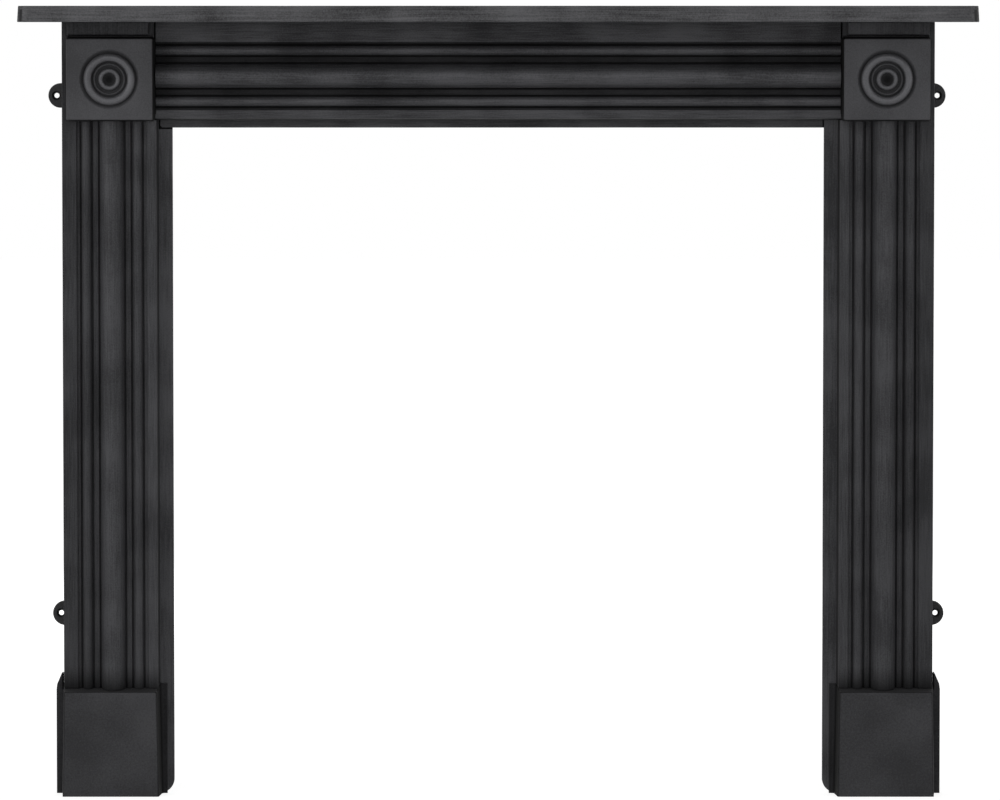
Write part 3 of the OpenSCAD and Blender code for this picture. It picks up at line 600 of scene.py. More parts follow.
# how far a cut or a joined piece runs past the face it meets
OVER = 1 * MM


def make_jamb(scene, side):
    """A jamb: the moulded section carried up from the floor to the frieze, a plain head behind the corner
    block with a raised strip above it, and a foot plate that carries the plinth block."""
    c, b, f, u = scene.surround_castings, scene.surround_blocks, scene.surround_fasteners, scene.surround_lugs
    at = Places(scene)
    web_top = at.plinth_top(at.slip_front) + c.gap + c.wall
    web_end = at.core + c.wall / 2
    foot_left, foot_right = at.slip_back + c.wall / 2, at.outer - c.wall / 2
    piece = upright(jamb_section(c, at), 0, at.head_bottom, 12 * MM)
    foot = sideways(rectangle(c.rebate, 0, at.slip_front, web_top), foot_left, foot_right)
    web = sideways(np.array([[at.slip_front - OVER, web_top - 2 * c.wall], [web_end, web_top - 2 * c.wall],
                             [web_end, at.plinth_top(web_end) + c.gap + c.wall], [at.slip_front, web_top],
                             [at.slip_front - OVER, web_top]]), foot_left, foot_right)
    combine(piece, [foot, web], "UNION")
    combine(piece, [plinth_space(at, c.gap)], "DIFFERENCE")

    block_low = at.block_z - at.block_half_z - at.block_run
    head = upright(refine(rounded([
        [at.joint, at.flat_back, 0], [at.joint, at.body, 0], [at.outer, at.body, c.edge],
        [at.outer_wall, 0, 0.3 * MM], [at.outer_wall - c.wall, 0, 0.3 * MM],
        [at.outer - c.wall, at.flat_back, c.edge]]), 5 * MM), block_low, at.top, 12 * MM)
    band = upright(rectangle(at.joint, at.core, at.outer - c.wall, at.flat_back + OVER),
                   block_low - c.wall, block_low + c.wall)
    flange = upright(rectangle(at.joint, c.rebate, at.joint + c.wall, at.flat_back + OVER),
                     block_low - c.wall, at.top)
    shelf_flange = upright(rectangle(at.joint, c.rebate, at.outer - c.wall / 2, at.body - OVER),
                           at.top - c.wall, at.top)
    bosses = [bar(at.lug_screw, z, u.plate, at.flat_back + OVER, f.boss) for z in at.lug_z.values()]
    combine(piece, [head, band, flange, shelf_flange, head_strip(c, b, at), *bosses], "UNION")

    block_top = at.block_z + at.block_half_z + at.block_run
    groove = outward(rectangle(at.joint + OVER, block_top, at.block_x + at.block_half_x, block_top + b.strip_gap),
                     at.quirk + c.lap / 2, at.body + OVER)
    cuts = [block_body(at, b, c.gap), groove]
    if side < 0:
        # the frieze's slip runs over this jamb's slip, with a gap at the front and a closed lap behind
        cuts += [
            upright(rectangle(at.opening - OVER, c.rebate + c.lap, at.slip_back - HAIRLINE, at.slip_front + OVER),
                    at.opening_top - c.slip_gap, at.head_bottom + OVER),
            upright(rectangle(at.opening - OVER, c.rebate - OVER, at.slip_back - c.slip_gap + HAIRLINE,
                              c.rebate + c.lap), at.opening_top - HAIRLINE, at.head_bottom + OVER),
        ]
    foot_round = arc(at.opening + c.slip_foot, c.slip_foot, c.slip_foot, 270, 180, 16)[:, :2]
    cuts.append(outward(np.vstack([foot_round, [[at.opening - OVER, c.slip_foot], [at.opening - OVER, -OVER],
                                                [at.opening + c.slip_foot, -OVER]]]),
                        c.rebate - OVER, at.slip_front + OVER))
    half_lug = (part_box("upper_right_wall_lug")[1].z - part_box("upper_right_wall_lug")[0].z) / 2
    for z in at.lug_z.values():
        cuts.append(outward(rectangle(at.lug_screw - half_lug - c.gap, z - half_lug - c.gap,
                                      at.outer_wall + 20 * MM, z + half_lug + c.gap), -OVER, u.plate))
        cuts.append(bar(at.lug_screw, z, u.plate - OVER, u.plate + 2 * f.thread, f.bolt + f.tapped))
    hole = f.bolt + f.clearance
    for step in (-1, 1):
        cuts.append(bar(at.block_x + step * f.block_spread, at.block_z, at.flat_back - OVER, at.body + OVER, hole))
        cuts.append(bar(at.centre + step * f.plinth_spread, at.plinth_bolt_z, c.rebate - OVER,
                        at.slip_front + OVER, hole))
        cuts.append(sideways(circle(at.joint_depth, at.joint_z + step * f.joint_spread, hole),
                             at.joint - OVER, at.joint + c.wall + OVER))
    cuts.append(upright(circle(at.centre, at.joint_depth, hole), at.top - c.wall - OVER, at.top + OVER))
    combine(piece, cuts, "DIFFERENCE")

    name = "left_jamb" if side < 0 else "right_jamb"
    inside = (at.slip_back + c.wall / 2, at.outer_wall - c.wall / 2, at.flat_back + 0.2 * MM)
    finish(mirrored(piece, side), name, [name], [jamb_iron(scene), cast_back(scene)],
           hollow(*inside))


def head_strip(c, b, at):
    """The raised strip under the shelf. Its section is carried across between two drafted ends."""
    run = b.strip_rise * at.lean
    low = at.block_z + at.block_half_z + at.block_run + b.strip_gap
    section = np.array([[at.body - OVER, low - OVER * at.lean], [at.body + b.strip_rise, low + run],
                        [at.body + b.strip_rise, at.top], [at.body - OVER, at.top]])
    lean = (at.body + b.strip_rise - section[:, 0]) * at.lean
    left = at.block_x - at.block_half_x + b.strip_inset - lean
    right = at.block_x + at.block_half_x + lean
    share = np.linspace(0, 1, 13)[:, None]
    return softened(solid(place(left * (1 - share) + right * share, section[:, 0], section[:, 1])), c.edge)


def hollow(left, right, depth):
    """Picks the faces at the back of a casting: those that face the wall, and those of its hollow, between
    left and right and nearer to the wall than depth."""
    def pick(centres, normals):
        across = np.abs(centres[:, 0])
        within = (across > left) & (across < right) & (WALL_Y - centres[:, 1] < depth)
        return (normals[:, 1] > 0.25) | (within & (normals[:, 1] > -0.7))
    return pick


def make_frieze(scene):
    """The frieze: its moulded section carried across between the jambs, with end flanges, and mouldings cut
    back behind the corner blocks."""
    c, b, f = scene.surround_castings, scene.surround_blocks, scene.surround_fasteners
    at = Places(scene)
    piece = sideways(frieze_section(c, at), -at.joint, at.joint, 12 * MM)
    slip_end = at.slip_back - c.slip_gap
    ease = 2 * c.edge
    far = at.joint + OVER
    in_front = (c.rebate + c.lap, at.slip_front + OVER)
    ends = [
        outward(rectangle(-far, 0, -slip_end, at.slip_top), c.rebate - OVER, at.slip_front + OVER),
        outward(rectangle(at.opening - c.slip_gap, 0, far, at.slip_top), *in_front),
        outward(rectangle(at.opening - HAIRLINE, 0, far, at.slip_top), c.rebate - OVER, c.rebate + c.lap),
        outward(np.array([[-slip_end - OVER, at.opening_top - OVER], [-slip_end + ease, at.opening_top - OVER],
                          [-slip_end + ease, at.opening_top], [-slip_end, at.opening_top + ease],
                          [-slip_end - OVER, at.opening_top + ease]]), *in_front),
    ]
    combine(piece, ends, "DIFFERENCE")
    flanges = [sideways(rectangle(c.rebate, at.frieze_bottom + c.wall / 2, at.core + OVER, at.top - OVER),
                        *sorted((end * (at.joint - c.wall), end * at.joint))) for end in (-1, 1)]
    combine(piece, flanges, "UNION")
    hole = f.bolt + f.clearance
    cuts = [mirrored(block_body(at, b, c.gap), side) for side in (-1, 1)]
    for end in (-1, 1):
        left, right = sorted((end * (at.joint - c.joint_groove), end * far))
        cuts.append(outward(rectangle(left, at.frieze_bottom + c.wall, right, at.top + OVER),
                            at.quirk + c.lap / 2, at.body + 2 * c.crown))
        for step in (-1, 1):
            cuts.append(sideways(circle(at.joint_depth, at.joint_z + step * f.joint_spread, hole),
                                 *sorted((end * (at.joint - c.wall - OVER), end * (at.joint + OVER)))))
        cuts.append(upright(circle(end * at.shelf_bolts, at.joint_depth, hole), at.top - c.wall - OVER,
                            at.top + OVER))
    combine(piece, cuts, "DIFFERENCE")
    finish(piece, "frieze", ["frieze"], [frieze_iron(scene), cast_back(scene)],
           hollow(-1, at.joint - c.wall / 2, at.flat_back + 0.2 * MM))


def bullseye(b, crease):
    """Profile of the bullseye from its centre outwards, as (radius, height above the face): a dimple, the
    inner ring, a bead, the outer ring and the cove up to the face. Each ring is an arc of a circle, and the
    cove is half a wave of a cosine."""
    disc = -b.disc_sink

    def ring(middle, roll, rise):
        centre = rise - roll
        foot = math.degrees(math.asin(min(1, (centre - disc) / roll)))
        return arc(middle, centre, roll, 180 + foot, -foot, 24)

    bead = arc(b.bead_ring, disc + 0.35 * b.bead_roll, b.bead_roll, 190, -10, 14)
    foot = b.outer_ring + b.outer_roll + 0.3 * MM
    turn = np.linspace(0, np.pi, 14)[1:]
    cove = np.stack([foot + (b.cove + b.cove_blend - foot) * turn / np.pi, disc * (1 + np.cos(turn)) / 2,
                     0 * turn], axis=1)
    line = np.vstack([
        [[0, -b.dimple, 0], [2 * MM, -b.dimple, 1.5 * MM]],
        ring(b.inner_ring, b.inner_roll, b.inner_rise), bead, ring(b.outer_ring, b.outer_roll, b.outer_rise),
        cove, [[b.cove + b.cove_blend + 0.8 * MM, 0, 0]],
    ])
    return refine(rounded(line + [0, 0, crease], closed=False, steps=4), 1.2 * MM, closed=False)


def make_corner_block(scene, side):
    """A corner block as one surface over the way round and a profile: circles of the bullseye, which change
    into the rounded square of the face, then its eased edge, the drafted sides, the rim that sits on the
    jamb's head, and the hollow back up to a pole."""
    c, b, f = scene.surround_castings, scene.surround_blocks, scene.surround_fasteners
    at = Places(scene)

    def ring(inset):
        return round_rectangle(-at.block_half_x + inset, -at.block_half_z + inset, at.block_half_x - inset,
                               at.block_half_z - inset, max(b.round - inset, 0.6 * MM), 28, 8)

    face = ring(c.edge)
    angle = np.arctan2(face[:, 1], face[:, 0])
    radius, height = bullseye(b, c.crease / 2).T
    round_part = radius[:, None, None] * np.stack([np.cos(angle), np.sin(angle)], axis=-1)
    share = np.linspace(0, 1, 8)[1:, None, None]
    face_part = round_part[-1] * (1 - share) + face * share
    ease = np.radians(np.linspace(0, 90, 6))[1:]
    hollow_top = b.rise - c.wall - b.disc_sink
    steps = np.linspace(0, 1, 6)[1:]
    insets = np.concatenate([
        c.edge * (1 - np.sin(ease)),
        -at.block_run * steps, [c.wall - at.block_run], c.wall - at.block_run * (1 - steps),
    ])
    outs = np.concatenate([
        b.rise - c.edge * (1 - np.cos(ease)),
        (b.rise - c.edge) * (1 - steps), [0], hollow_top * steps,
    ])
    side_part = np.array([ring(inset) for inset in insets])
    close = np.linspace(1, 0, 5)[1:, None, None]
    back_part = side_part[-1] * close
    rings = np.concatenate([round_part, face_part, side_part, back_part])
    out = at.body + np.concatenate([b.rise + height, np.full(len(face_part), b.rise), outs,
                                    np.full(len(back_part), hollow_top)])
    piece = solid(place(at.block_x + rings[..., 0], out[:, None], at.block_z + rings[..., 1]), "poles")
    places = [at.block_x + step * f.block_spread for step in (-1, 1)]
    combine(piece, [bar(x, at.block_z, at.body, at.block_front - c.wall, f.block_boss) for x in places], "UNION")
    combine(piece, [bar(x, at.block_z, at.body - OVER, at.body + f.thread + 2 * MM, f.bolt + f.tapped)
                    for x in places], "DIFFERENCE")
    name = "left_corner_block" if side < 0 else "right_corner_block"
    inner = at.block_x - at.block_half_x + c.wall / 2
    outer = at.block_x + at.block_half_x - c.wall / 2
    low, high = at.block_z - at.block_half_z + c.wall / 2, at.block_z + at.block_half_z - c.wall / 2

    def rough(centres, normals):
        across, up = np.abs(centres[:, 0]), centres[:, 2]
        within = (across > inner) & (across < outer) & (up > low) & (up < high)
        return (normals[:, 1] > 0.25) | (within & (WALL_Y - centres[:, 1] < at.block_front - c.wall))

    finish(mirrored(piece, side), name, [name], [block_iron(scene), cast_back(scene)], rough)


def plinth_solid(c, p, at, inset=0):
    """The plinth's front box as rings of one plan outline: it narrows upwards by the batter, its sides lean
    by the draft, its edges are round, and its top follows the slope. With an inset it is the hollow."""
    def outline(edge):
        back = at.slip_front if not inset else at.slip_front - OVER
        front = at.plinth_front - inset - edge
        lean = (at.plinth_front - back) * at.lean
        radius = max(p.corner + c.edge - inset, 0.8 * MM)
        return rounded([[at.plinth_inner - lean + inset + edge, back, 0],
                        [at.plinth_inner + inset + edge, front, radius],
                        [at.plinth_outer - inset - edge, front, radius],
                        [at.plinth_outer + lean - inset - edge, back, 0]])

    lines = refine(np.hstack([outline(0), outline(p.corner)]), 8 * MM)
    outer, inner = lines[:, :2], lines[:, 2:]
    middle = (at.plinth_inner + at.plinth_outer) / 2
    ease = np.radians(np.linspace(0, 90, 7))[1:]
    levels = np.concatenate([np.linspace(0, 1, 16), np.ones(len(ease))])[:, None]
    draw = np.concatenate([np.zeros(16), 1 - np.cos(ease)])[:, None]
    drop = np.concatenate([np.ones(16), 1 - np.sin(ease)])[:, None] * p.corner
    across = outer[:, 0] * (1 - draw) + inner[:, 0] * draw
    out = outer[:, 1] * (1 - draw) + inner[:, 1] * draw
    half = (at.plinth_outer - at.plinth_inner) / 2
    across = middle + (across - middle) * (1 + p.batter / half * (1 - levels))
    top = at.plinth_top(out) - inset - drop
    floor = -OVER if inset else 0
    return solid(place(across, out, floor + (top - floor) * levels))


def make_plinth(scene, side):
    """A plinth block: the hollow front box, its two wings, the cove beside the inner one, the shouldered
    return along the jamb's outer side, and bosses for the bolts from behind."""
    c, p, f = scene.surround_castings, scene.surround_plinths, scene.surround_fasteners
    at = Places(scene)
    outer_in = at.outer_wall + p.clear
    wing_top = at.plinth_top(at.wing_front)
    soft = 0.8 * MM
    piece = plinth_solid(c, p, at)
    inner_wing = upright(refine(rounded([
        [at.wing_inner, at.slip_front, 0.3 * MM], [at.centre, at.slip_front, 0], [at.centre, at.wing_front, 0],
        [at.wing_inner, at.wing_front, soft]]), 8 * MM), 0, wing_top, 20 * MM)
    outer_wing = upright(rounded([
        [at.centre, at.slip_front, 0], [at.wing_outer - soft, at.slip_front, 0],
        [at.wing_outer - soft, at.wing_front, 0], [at.centre, at.wing_front, 0]]), 0, p.height, 20 * MM)
    chamfer = 1 * MM
    edge_wing = softened(outward(np.array([
        [outer_in, 0], [at.wing_outer, 0], [at.wing_outer, p.height], [at.wing_outer - chamfer, wing_top],
        [outer_in + chamfer, wing_top + p.shoulder], [outer_in, wing_top + p.shoulder]]), 0, at.wing_front),
        0.6 * MM)
    lap = outward(rectangle(at.outer_wall + HAIRLINE, 0, outer_in + OVER, wing_top + p.shoulder - chamfer),
                  0, at.wing_front - c.lap)
    combine(piece, [inner_wing, outer_wing, edge_wing, lap, plinth_cove(p, at, wing_top)], "UNION")
    bolts = [at.centre + step * f.plinth_spread for step in (-1, 1)]
    space = plinth_solid(c, p, at, c.wall)
    combine(space, [bar(x, at.plinth_bolt_z, 0, at.plinth_front, f.boss) for x in bolts], "DIFFERENCE")
    back = outward(rectangle(at.wing_inner - OVER, -OVER, at.outer_wall + HAIRLINE / 2, wing_top + 20 * MM),
                   -OVER, at.slip_front)
    taps = [bar(x, at.plinth_bolt_z, at.slip_front - OVER, at.slip_front + f.thread + 2 * MM, f.bolt + f.tapped)
            for x in bolts]
    combine(piece, [space, back, *taps], "DIFFERENCE")
    name = "left_plinth_block" if side < 0 else "right_plinth_block"
    finish(mirrored(piece, side), name, [name], [plinth_iron(scene), cast_back(scene)],
           hollow(at.plinth_inner, at.plinth_outer, at.plinth_front - c.wall / 2))


def plinth_cove(p, at, wing_top):
    """The hollow curve between the plinth's inner side and its wing: a quarter circle carried up the
    battered side."""
    side = at.plinth_inner - (at.plinth_front - at.wing_front) * at.lean
    curve = arc(side - p.cove, at.wing_front + p.cove, p.cove, -90, 0, 10)[:, :2]
    curve = np.vstack([curve, [[side + 4 * MM, at.wing_front + p.cove], [side + 4 * MM, at.wing_front - OVER],
                               [side - p.cove, at.wing_front - OVER]]])
    level = np.linspace(0, 1, 12)[:, None]
    return solid(place(curve[:, 0] - p.batter * (1 - level), curve[:, 1], wing_top * level))


def make_shelf(scene):
    """The mantel shelf as one surface over the way round its edge and a profile: the top from its middle
    line to the eased edge, the leaning rim, its foot, the inside of the rim and the plate's underside back to
    the middle line. Ribs and bosses are joined on underneath."""
    c, s, f = scene.surround_castings, scene.surround_shelf, scene.surround_fasteners
    at = Places(scene)
    half, front = CAD_BOX[1][0], WALL_Y - CAD_BOX[0][1]

    def ring(inset, back):
        radius = [0.8 * MM, *[max(s.corner - inset, 1 * MM)] * 2, 0.8 * MM]
        return round_rectangle(-half + inset, back, half - inset, front - inset, radius, 40, 10)

    edge = rounded([[s.flare + 3 * s.edge, at.shelf_top, 0], [s.flare, at.shelf_top, s.edge],
                    [0, at.top, s.edge], [s.rim + s.flare, at.top, s.edge / 2],
                    [s.rim + s.flare, at.shelf_top - s.plate, 2 * s.edge],
                    [s.rim + s.flare + 4 * s.edge, at.shelf_top - s.plate, 0]], closed=False)
    edge = refine(edge, 4 * MM, closed=False)
    foot = np.argmin(edge[:, 1])
    back = np.where(np.arange(len(edge)) < foot, 0, np.minimum(edge[:, 0] / (s.rim + s.flare), 1) * c.wall)
    rings = np.array([ring(inset, b) for inset, b in zip(edge[:, 0], back)])
    middle = front / 2
    line = round_rectangle(-half + middle, middle, half - middle, middle, 0, 40, 10)
    share = np.linspace(0, 1, 6)[:-1, None, None]
    rings = np.concatenate([line * (1 - share) + rings[0] * share, rings,
                            (line * (1 - share) + rings[-1] * share)[::-1]])
    up = np.concatenate([np.full(5, at.shelf_top), edge[:, 1], np.full(5, at.shelf_top - s.plate)])
    piece = solid(place(rings[..., 0], rings[..., 1], up[:, None]), "poles")
    inner_front = front - s.rim - s.flare + OVER
    ribs = [upright(rectangle(x - c.wall / 2, OVER, x + c.wall / 2, inner_front), at.top + s.rib_rise,
                    at.shelf_top - OVER)
            for x in (-at.centre, -at.opening / 3, at.opening / 3, at.centre)]
    places = (-at.centre, -at.shelf_bolts, at.shelf_bolts, at.centre)
    bosses = [upright(circle(x, at.joint_depth, f.boss), at.top, at.shelf_top - OVER) for x in places]
    combine(piece, [*ribs, *bosses], "UNION")
    combine(piece, [upright(circle(x, at.joint_depth, f.bolt + f.tapped), at.top - OVER, at.top + f.thread)
                    for x in places], "DIFFERENCE")

    def rough(centres, normals):
        under = (centres[:, 2] > at.top + OVER) & (centres[:, 2] < at.shelf_top - s.plate / 2)
        inside = (np.abs(centres[:, 0]) < half - s.rim / 2) & (WALL_Y - centres[:, 1] < front - s.rim / 2)
        return (normals[:, 1] > 0.5) & ~inside | under & inside

    finish(piece, "mantel_shelf", ["mantel_shelf"], [shelf_iron(scene), cast_back(scene)], rough)


def make_lug(scene, level, side):
    """A wall lug: a plate with round ends as one surface over the way round and a profile from the hole's
    back edge, through the countersink, over the front to the outline, and across the back to the hole."""
    u, f = scene.surround_lugs, scene.surround_fasteners
    at = Places(scene)
    name = f"{level}_{'left' if side < 0 else 'right'}_wall_lug"
    low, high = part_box(name)
    tip = max(abs(low.x), abs(high.x))
    z, half = (low.z + high.z) / 2, (high.z - low.z) / 2
    hole_x = tip - u.hole_inset

    def outline(inset):
        return round_rectangle(at.lug_screw - half + inset, z - half + inset, tip - inset, z + half - inset,
                               half - inset, 10, 14)

    angle = np.arctan2(outline(0)[:, 1] - z, outline(0)[:, 0] - hole_x)
    spoke = np.stack([np.cos(angle), np.sin(angle)], axis=-1)
    centre = np.array([hole_x, z])
    ease = np.radians(np.linspace(0, 90, 6))
    hole = [(u.hole, 0), (u.hole, u.plate - u.sink + u.hole), (u.sink - 0.3 * MM, u.plate - 0.3 * MM),
            (u.sink + 0.2 * MM, u.plate)]
    rings = [centre + radius * spoke for radius, _ in hole] + [outline(u.edge * (1 - math.sin(a))) for a in ease]
    rings += [outline(0), outline(0.3 * MM)]
    out = [depth for _, depth in hole] + [u.plate - u.edge * (1 - math.cos(a)) for a in ease]
    out += [0.3 * MM, 0]
    rings = np.array(rings)
    piece = solid(place(rings[..., 0], np.array(out)[:, None], rings[..., 1]), "loop")
    hole = f.bolt + f.clearance
    head = 2 * f.bolt - f.tapped + f.clearance
    combine(piece, [turned(at.lug_screw, z, [[-OVER, head], [0, head], [head - hole, hole],
                                             [u.plate + OVER, hole]])], "DIFFERENCE")
    finish(mirrored(piece, side), name, [name], [lug_paint(scene)])


# ---------------------------------------------------------------- fasteners

AROUND = 48


def hexagon(across_corners, around=AROUND):
    """Radius of a hexagon at each angle: its flat's distance over the cosine of the angle to that flat."""
    angle = np.linspace(0, 2 * np.pi, around, endpoint=False)
    flat = across_corners / 2 * math.cos(math.pi / 6)
    return flat / np.cos(np.mod(angle + math.pi / 6, math.pi / 3) - math.pi / 6), flat


def thread(f, start, stop):
    """Rings of a screw thread as (along, radius at each angle): the radius falls from the crest by a
    rounded triangle wave of the way along less one pitch a turn, and fades in and out over one pitch."""
    along = np.arange(start, stop, f.pitch / 7)
    angle = np.linspace(0, 2 * np.pi, AROUND, endpoint=False)
    phase = np.mod(along[:, None] / f.pitch - angle[None, :] / (2 * np.pi), 1)
    cut = np.clip(1.25 * (1 - np.abs(2 * phase - 1)) - 0.1, 0, 1)
    fade = np.clip(np.minimum(along - start, stop - along) / f.pitch, 0, 1)[:, None]
    return along, f.bolt - 0.55 * f.pitch * cut * fade


def revolve(levels):
    """Rings of a turned shape as (a, b, along) from (along, radius or radii round) levels."""
    angle = np.linspace(0, 2 * np.pi, AROUND, endpoint=False)
    along = np.array([level[0] for level in levels])
    radius = np.array([np.broadcast_to(level[1], AROUND) for level in levels])
    return np.stack([radius * np.cos(angle), radius * np.sin(angle), np.broadcast_to(along[:, None], radius.shape)],
                    axis=-1)


def stand(shape, spots, axis, side=1):
    """Copies a shape of rings to spots, rows of (across, out, up), with its length along an axis."""
    order = {"across": [2, 0, 1], "out": [0, 2, 1], "up": [0, 1, 2]}[axis]
    points = np.asarray(spots, float)[:, None, None, :] + shape[None][..., order]
    return place(side * points[..., 0], points[..., 1], points[..., 2])


def hex_bolt(f, length):
    """A hexagon bolt with a chamfered head, a thin washer face, a threaded shank and a chamfered tip. The
    head lies before 0 along it and the shank after."""
    corners, flat = hexagon(f.hexagon)
    top = -f.head
    levels = [(top, 0), (top, 0.9 * flat), (top + 0.15 * MM, 0.96 * flat)]
    levels += [(top + 0.15 * MM + rise, np.minimum(corners, 0.96 * flat + 2.2 * rise))
               for rise in np.linspace(0.1, 1.1, 6) * MM]
    levels += [(-0.5 * MM, corners), (-0.3 * MM, np.minimum(corners, 1.02 * flat)), (-0.3 * MM, 0.95 * flat),
               (0, 0.95 * flat), (0, f.bolt), (1 * MM, f.bolt)]
    levels += list(zip(*thread(f, 1.2 * MM, length - 1 * MM)))
    levels += [(length - 0.6 * MM, f.bolt), (length, f.bolt - 0.6 * MM), (length, 0)]
    return revolve(levels)


def hex_nut(f):
    """A hexagon nut, chamfered at both ends, with a plain bore. Its rings loop from the bore round."""
    corners, flat = hexagon(f.hexagon)
    bore = f.bolt + f.tapped
    rises = np.linspace(0, 1.0, 5) * MM
    low = [(rise, np.minimum(corners, 0.96 * flat + 2.2 * rise)) for rise in rises]
    high = [(f.nut - rise, np.minimum(corners, 0.96 * flat + 2.2 * rise)) for rise in rises[::-1]]
    return revolve([(0.4 * MM, bore), (0, bore + 0.4 * MM), *low, *high, (f.nut, bore + 0.4 * MM),
                    (f.nut - 0.4 * MM, bore)])


def washer(f):
    """A plain washer with eased edges. Its rings loop from the hole round."""
    hole, rim, ease = f.bolt + f.clearance / 2, f.washer, 0.2 * MM
    return revolve([(ease, hole), (0, hole + ease), (0, rim - ease), (ease, rim), (f.washer_plate - ease, rim),
                    (f.washer_plate, rim - ease), (f.washer_plate, hole + ease), (f.washer_plate - ease, hole)])


def countersunk_screw(f, length):
    """A countersunk screw: its head opens towards 0 along it, and the slot is cut afterwards."""
    head = 2 * f.bolt - f.tapped
    levels = [(0, 0), (0, head - 0.3 * MM), (0.3 * MM, head - 0.3 * MM), (head - f.bolt, f.bolt)]
    levels += list(zip(*thread(f, head - f.bolt + 0.5 * MM, length - 1 * MM)))
    levels += [(length - 0.6 * MM, f.bolt), (length, f.bolt - 0.6 * MM), (length, 0)]
    return revolve(levels)


def fasteners(scene, name, shape, spots, axis, side, slot, ends, cuts=()):
    """One object with a copy of a fastener at each spot, in place of the node of that name."""
    piece = solid(stand(shape, spots, axis, side), ends)
    if cuts:
        combine(piece, cuts, "DIFFERENCE")
    finish_material = zinc_plate(scene) if slot == "zinc_steel" else black_oxide(scene)
    return finish(piece, name, [name], [finish_material], cast=False)


# ---------------------------------------------------------------- materials

def node(tree, kind, inputs=(), **settings):
    """Adds a node with its settings. inputs pairs a socket with a value or with the output linked to it."""
    made = tree.nodes.new(kind)
    for setting, value in settings.items():
        setattr(made, setting, value)
    for socket, value in dict(inputs).items():
        if isinstance(value, bpy.types.NodeSocket):
            tree.links.new(value, made.inputs[socket])
        else:
            made.inputs[socket].default_value = value
    return made


def material(name):
    """A new material with an empty tree, its output node, and the object's coordinates in metres; or nothing
    but the material where it has been made before."""
    made = bpy.data.materials.get(name)
    if made:
        return made, None, None, None
    made = bpy.data.materials.new(name)
    made.use_nodes = True
    tree = made.node_tree
    tree.nodes.clear()
    out = node(tree, "ShaderNodeOutputMaterial")
    return made, tree, out, node(tree, "ShaderNodeTexCoord").outputs["Object"]


def shade(rgb, factor):
    """A linear colour made lighter or darker, with alpha."""
    return tuple(min(1, channel * factor) for channel in rgb) + (1,)


# How much polish the brush leaves, as rows of (millimetres out from the wall, share of the brightest polish), with
# painted light in the same rows.
# The brush rides on what stands forward and misses the grooves. Beyond that, the low shares are painted shade in the
# grooves, fillets, returns, sides and wings, in the block's cove and dimple and in the slot above the corner blocks.
# The high shares on the crowns of the half-rounds and the bullseye's rings are partly painted highlight. The shelf's
# rows only lighten it a little towards its front.
JAMB_POLISH_AND_SHADE = ((0, 0.08), (12, 0.04), (15.6, 0.04), (17.2, 0.43), (19, 0.43), (22, 0.1), (43.2, 0.12),
               (44, 0.2), (45.5, 0.26), (46.4, 0.29), (47.4, 0.33), (49, 0.36), (50.5, 0.37), (53, 0.37), (62, 0.43))
FRIEZE_POLISH_AND_SHADE = ((0, 0.08), (12, 0.04), (15.6, 0.04), (17.2, 0.4), (19, 0.4), (22, 0.1), (43.5, 0.1),
                 (44.3, 0.02), (46.4, 0.09), (47.4, 0.16), (49, 0.4), (50.5, 0.44), (52.6, 0.48), (55, 0.36),
                 (62, 0.58))
BLOCK_POLISH_SHADE_AND_HIGHLIGHT = ((50, 0.01), (76, 0.02), (78.2, 0.07), (79.6, 0.2), (80.8, 0.36), (82, 0.49), (83.4, 0.78),
                (85.7, 0.86))
PLINTH_POLISH_AND_SHADE = ((0, 0.08), (18, 0.14), (24, 0.18), (27, 0.02), (65.5, 0.03), (67, 0.13), (67.7, 0.3),
                 (68, 0.4))
SHELF_POLISH = ((0, 0.5), (155, 0.6), (165, 0.68))
# height over which the painted shade in the corner above a ledge fades out
CORNER_SHADE_FADE = 36 * MM
FLANK_POLISH = 0.26
# height of the sand's grain that the polish leaves
GRAIN = 0.05 * MM
# Painted shade on the lugs, as rows of (millimetres out from the wall, share of the paint's colour): dark in the
# countersinks and down the sides.
LUG_SHADE = ((0, 0.1), (4.9, 0.1), (5.7, 1), (6, 1))


def by_depth(tree, spot, rows):
    """A value from 0 to 1 by the distance out from the wall, along straight lines through rows of
    (millimetres, value)."""
    nearest, furthest = rows[0][0], rows[-1][0]
    depth = node(tree, "ShaderNodeSeparateXYZ", {0: spot}).outputs["Y"]
    along = node(tree, "ShaderNodeMapRange", {0: depth, 1: WALL_Y - nearest * MM, 2: WALL_Y - furthest * MM})
    ramp = node(tree, "ShaderNodeValToRGB", {0: along.outputs[0]})
    steps = ramp.color_ramp.elements
    for step, (_, value) in ((steps[0], rows[0]), (steps[-1], rows[-1])):
        step.color = (value, value, value, 1)
    for distance, value in rows[1:-1]:
        steps.new((distance - nearest) / (furthest - nearest)).color = (value, value, value, 1)
    return ramp.outputs[0]


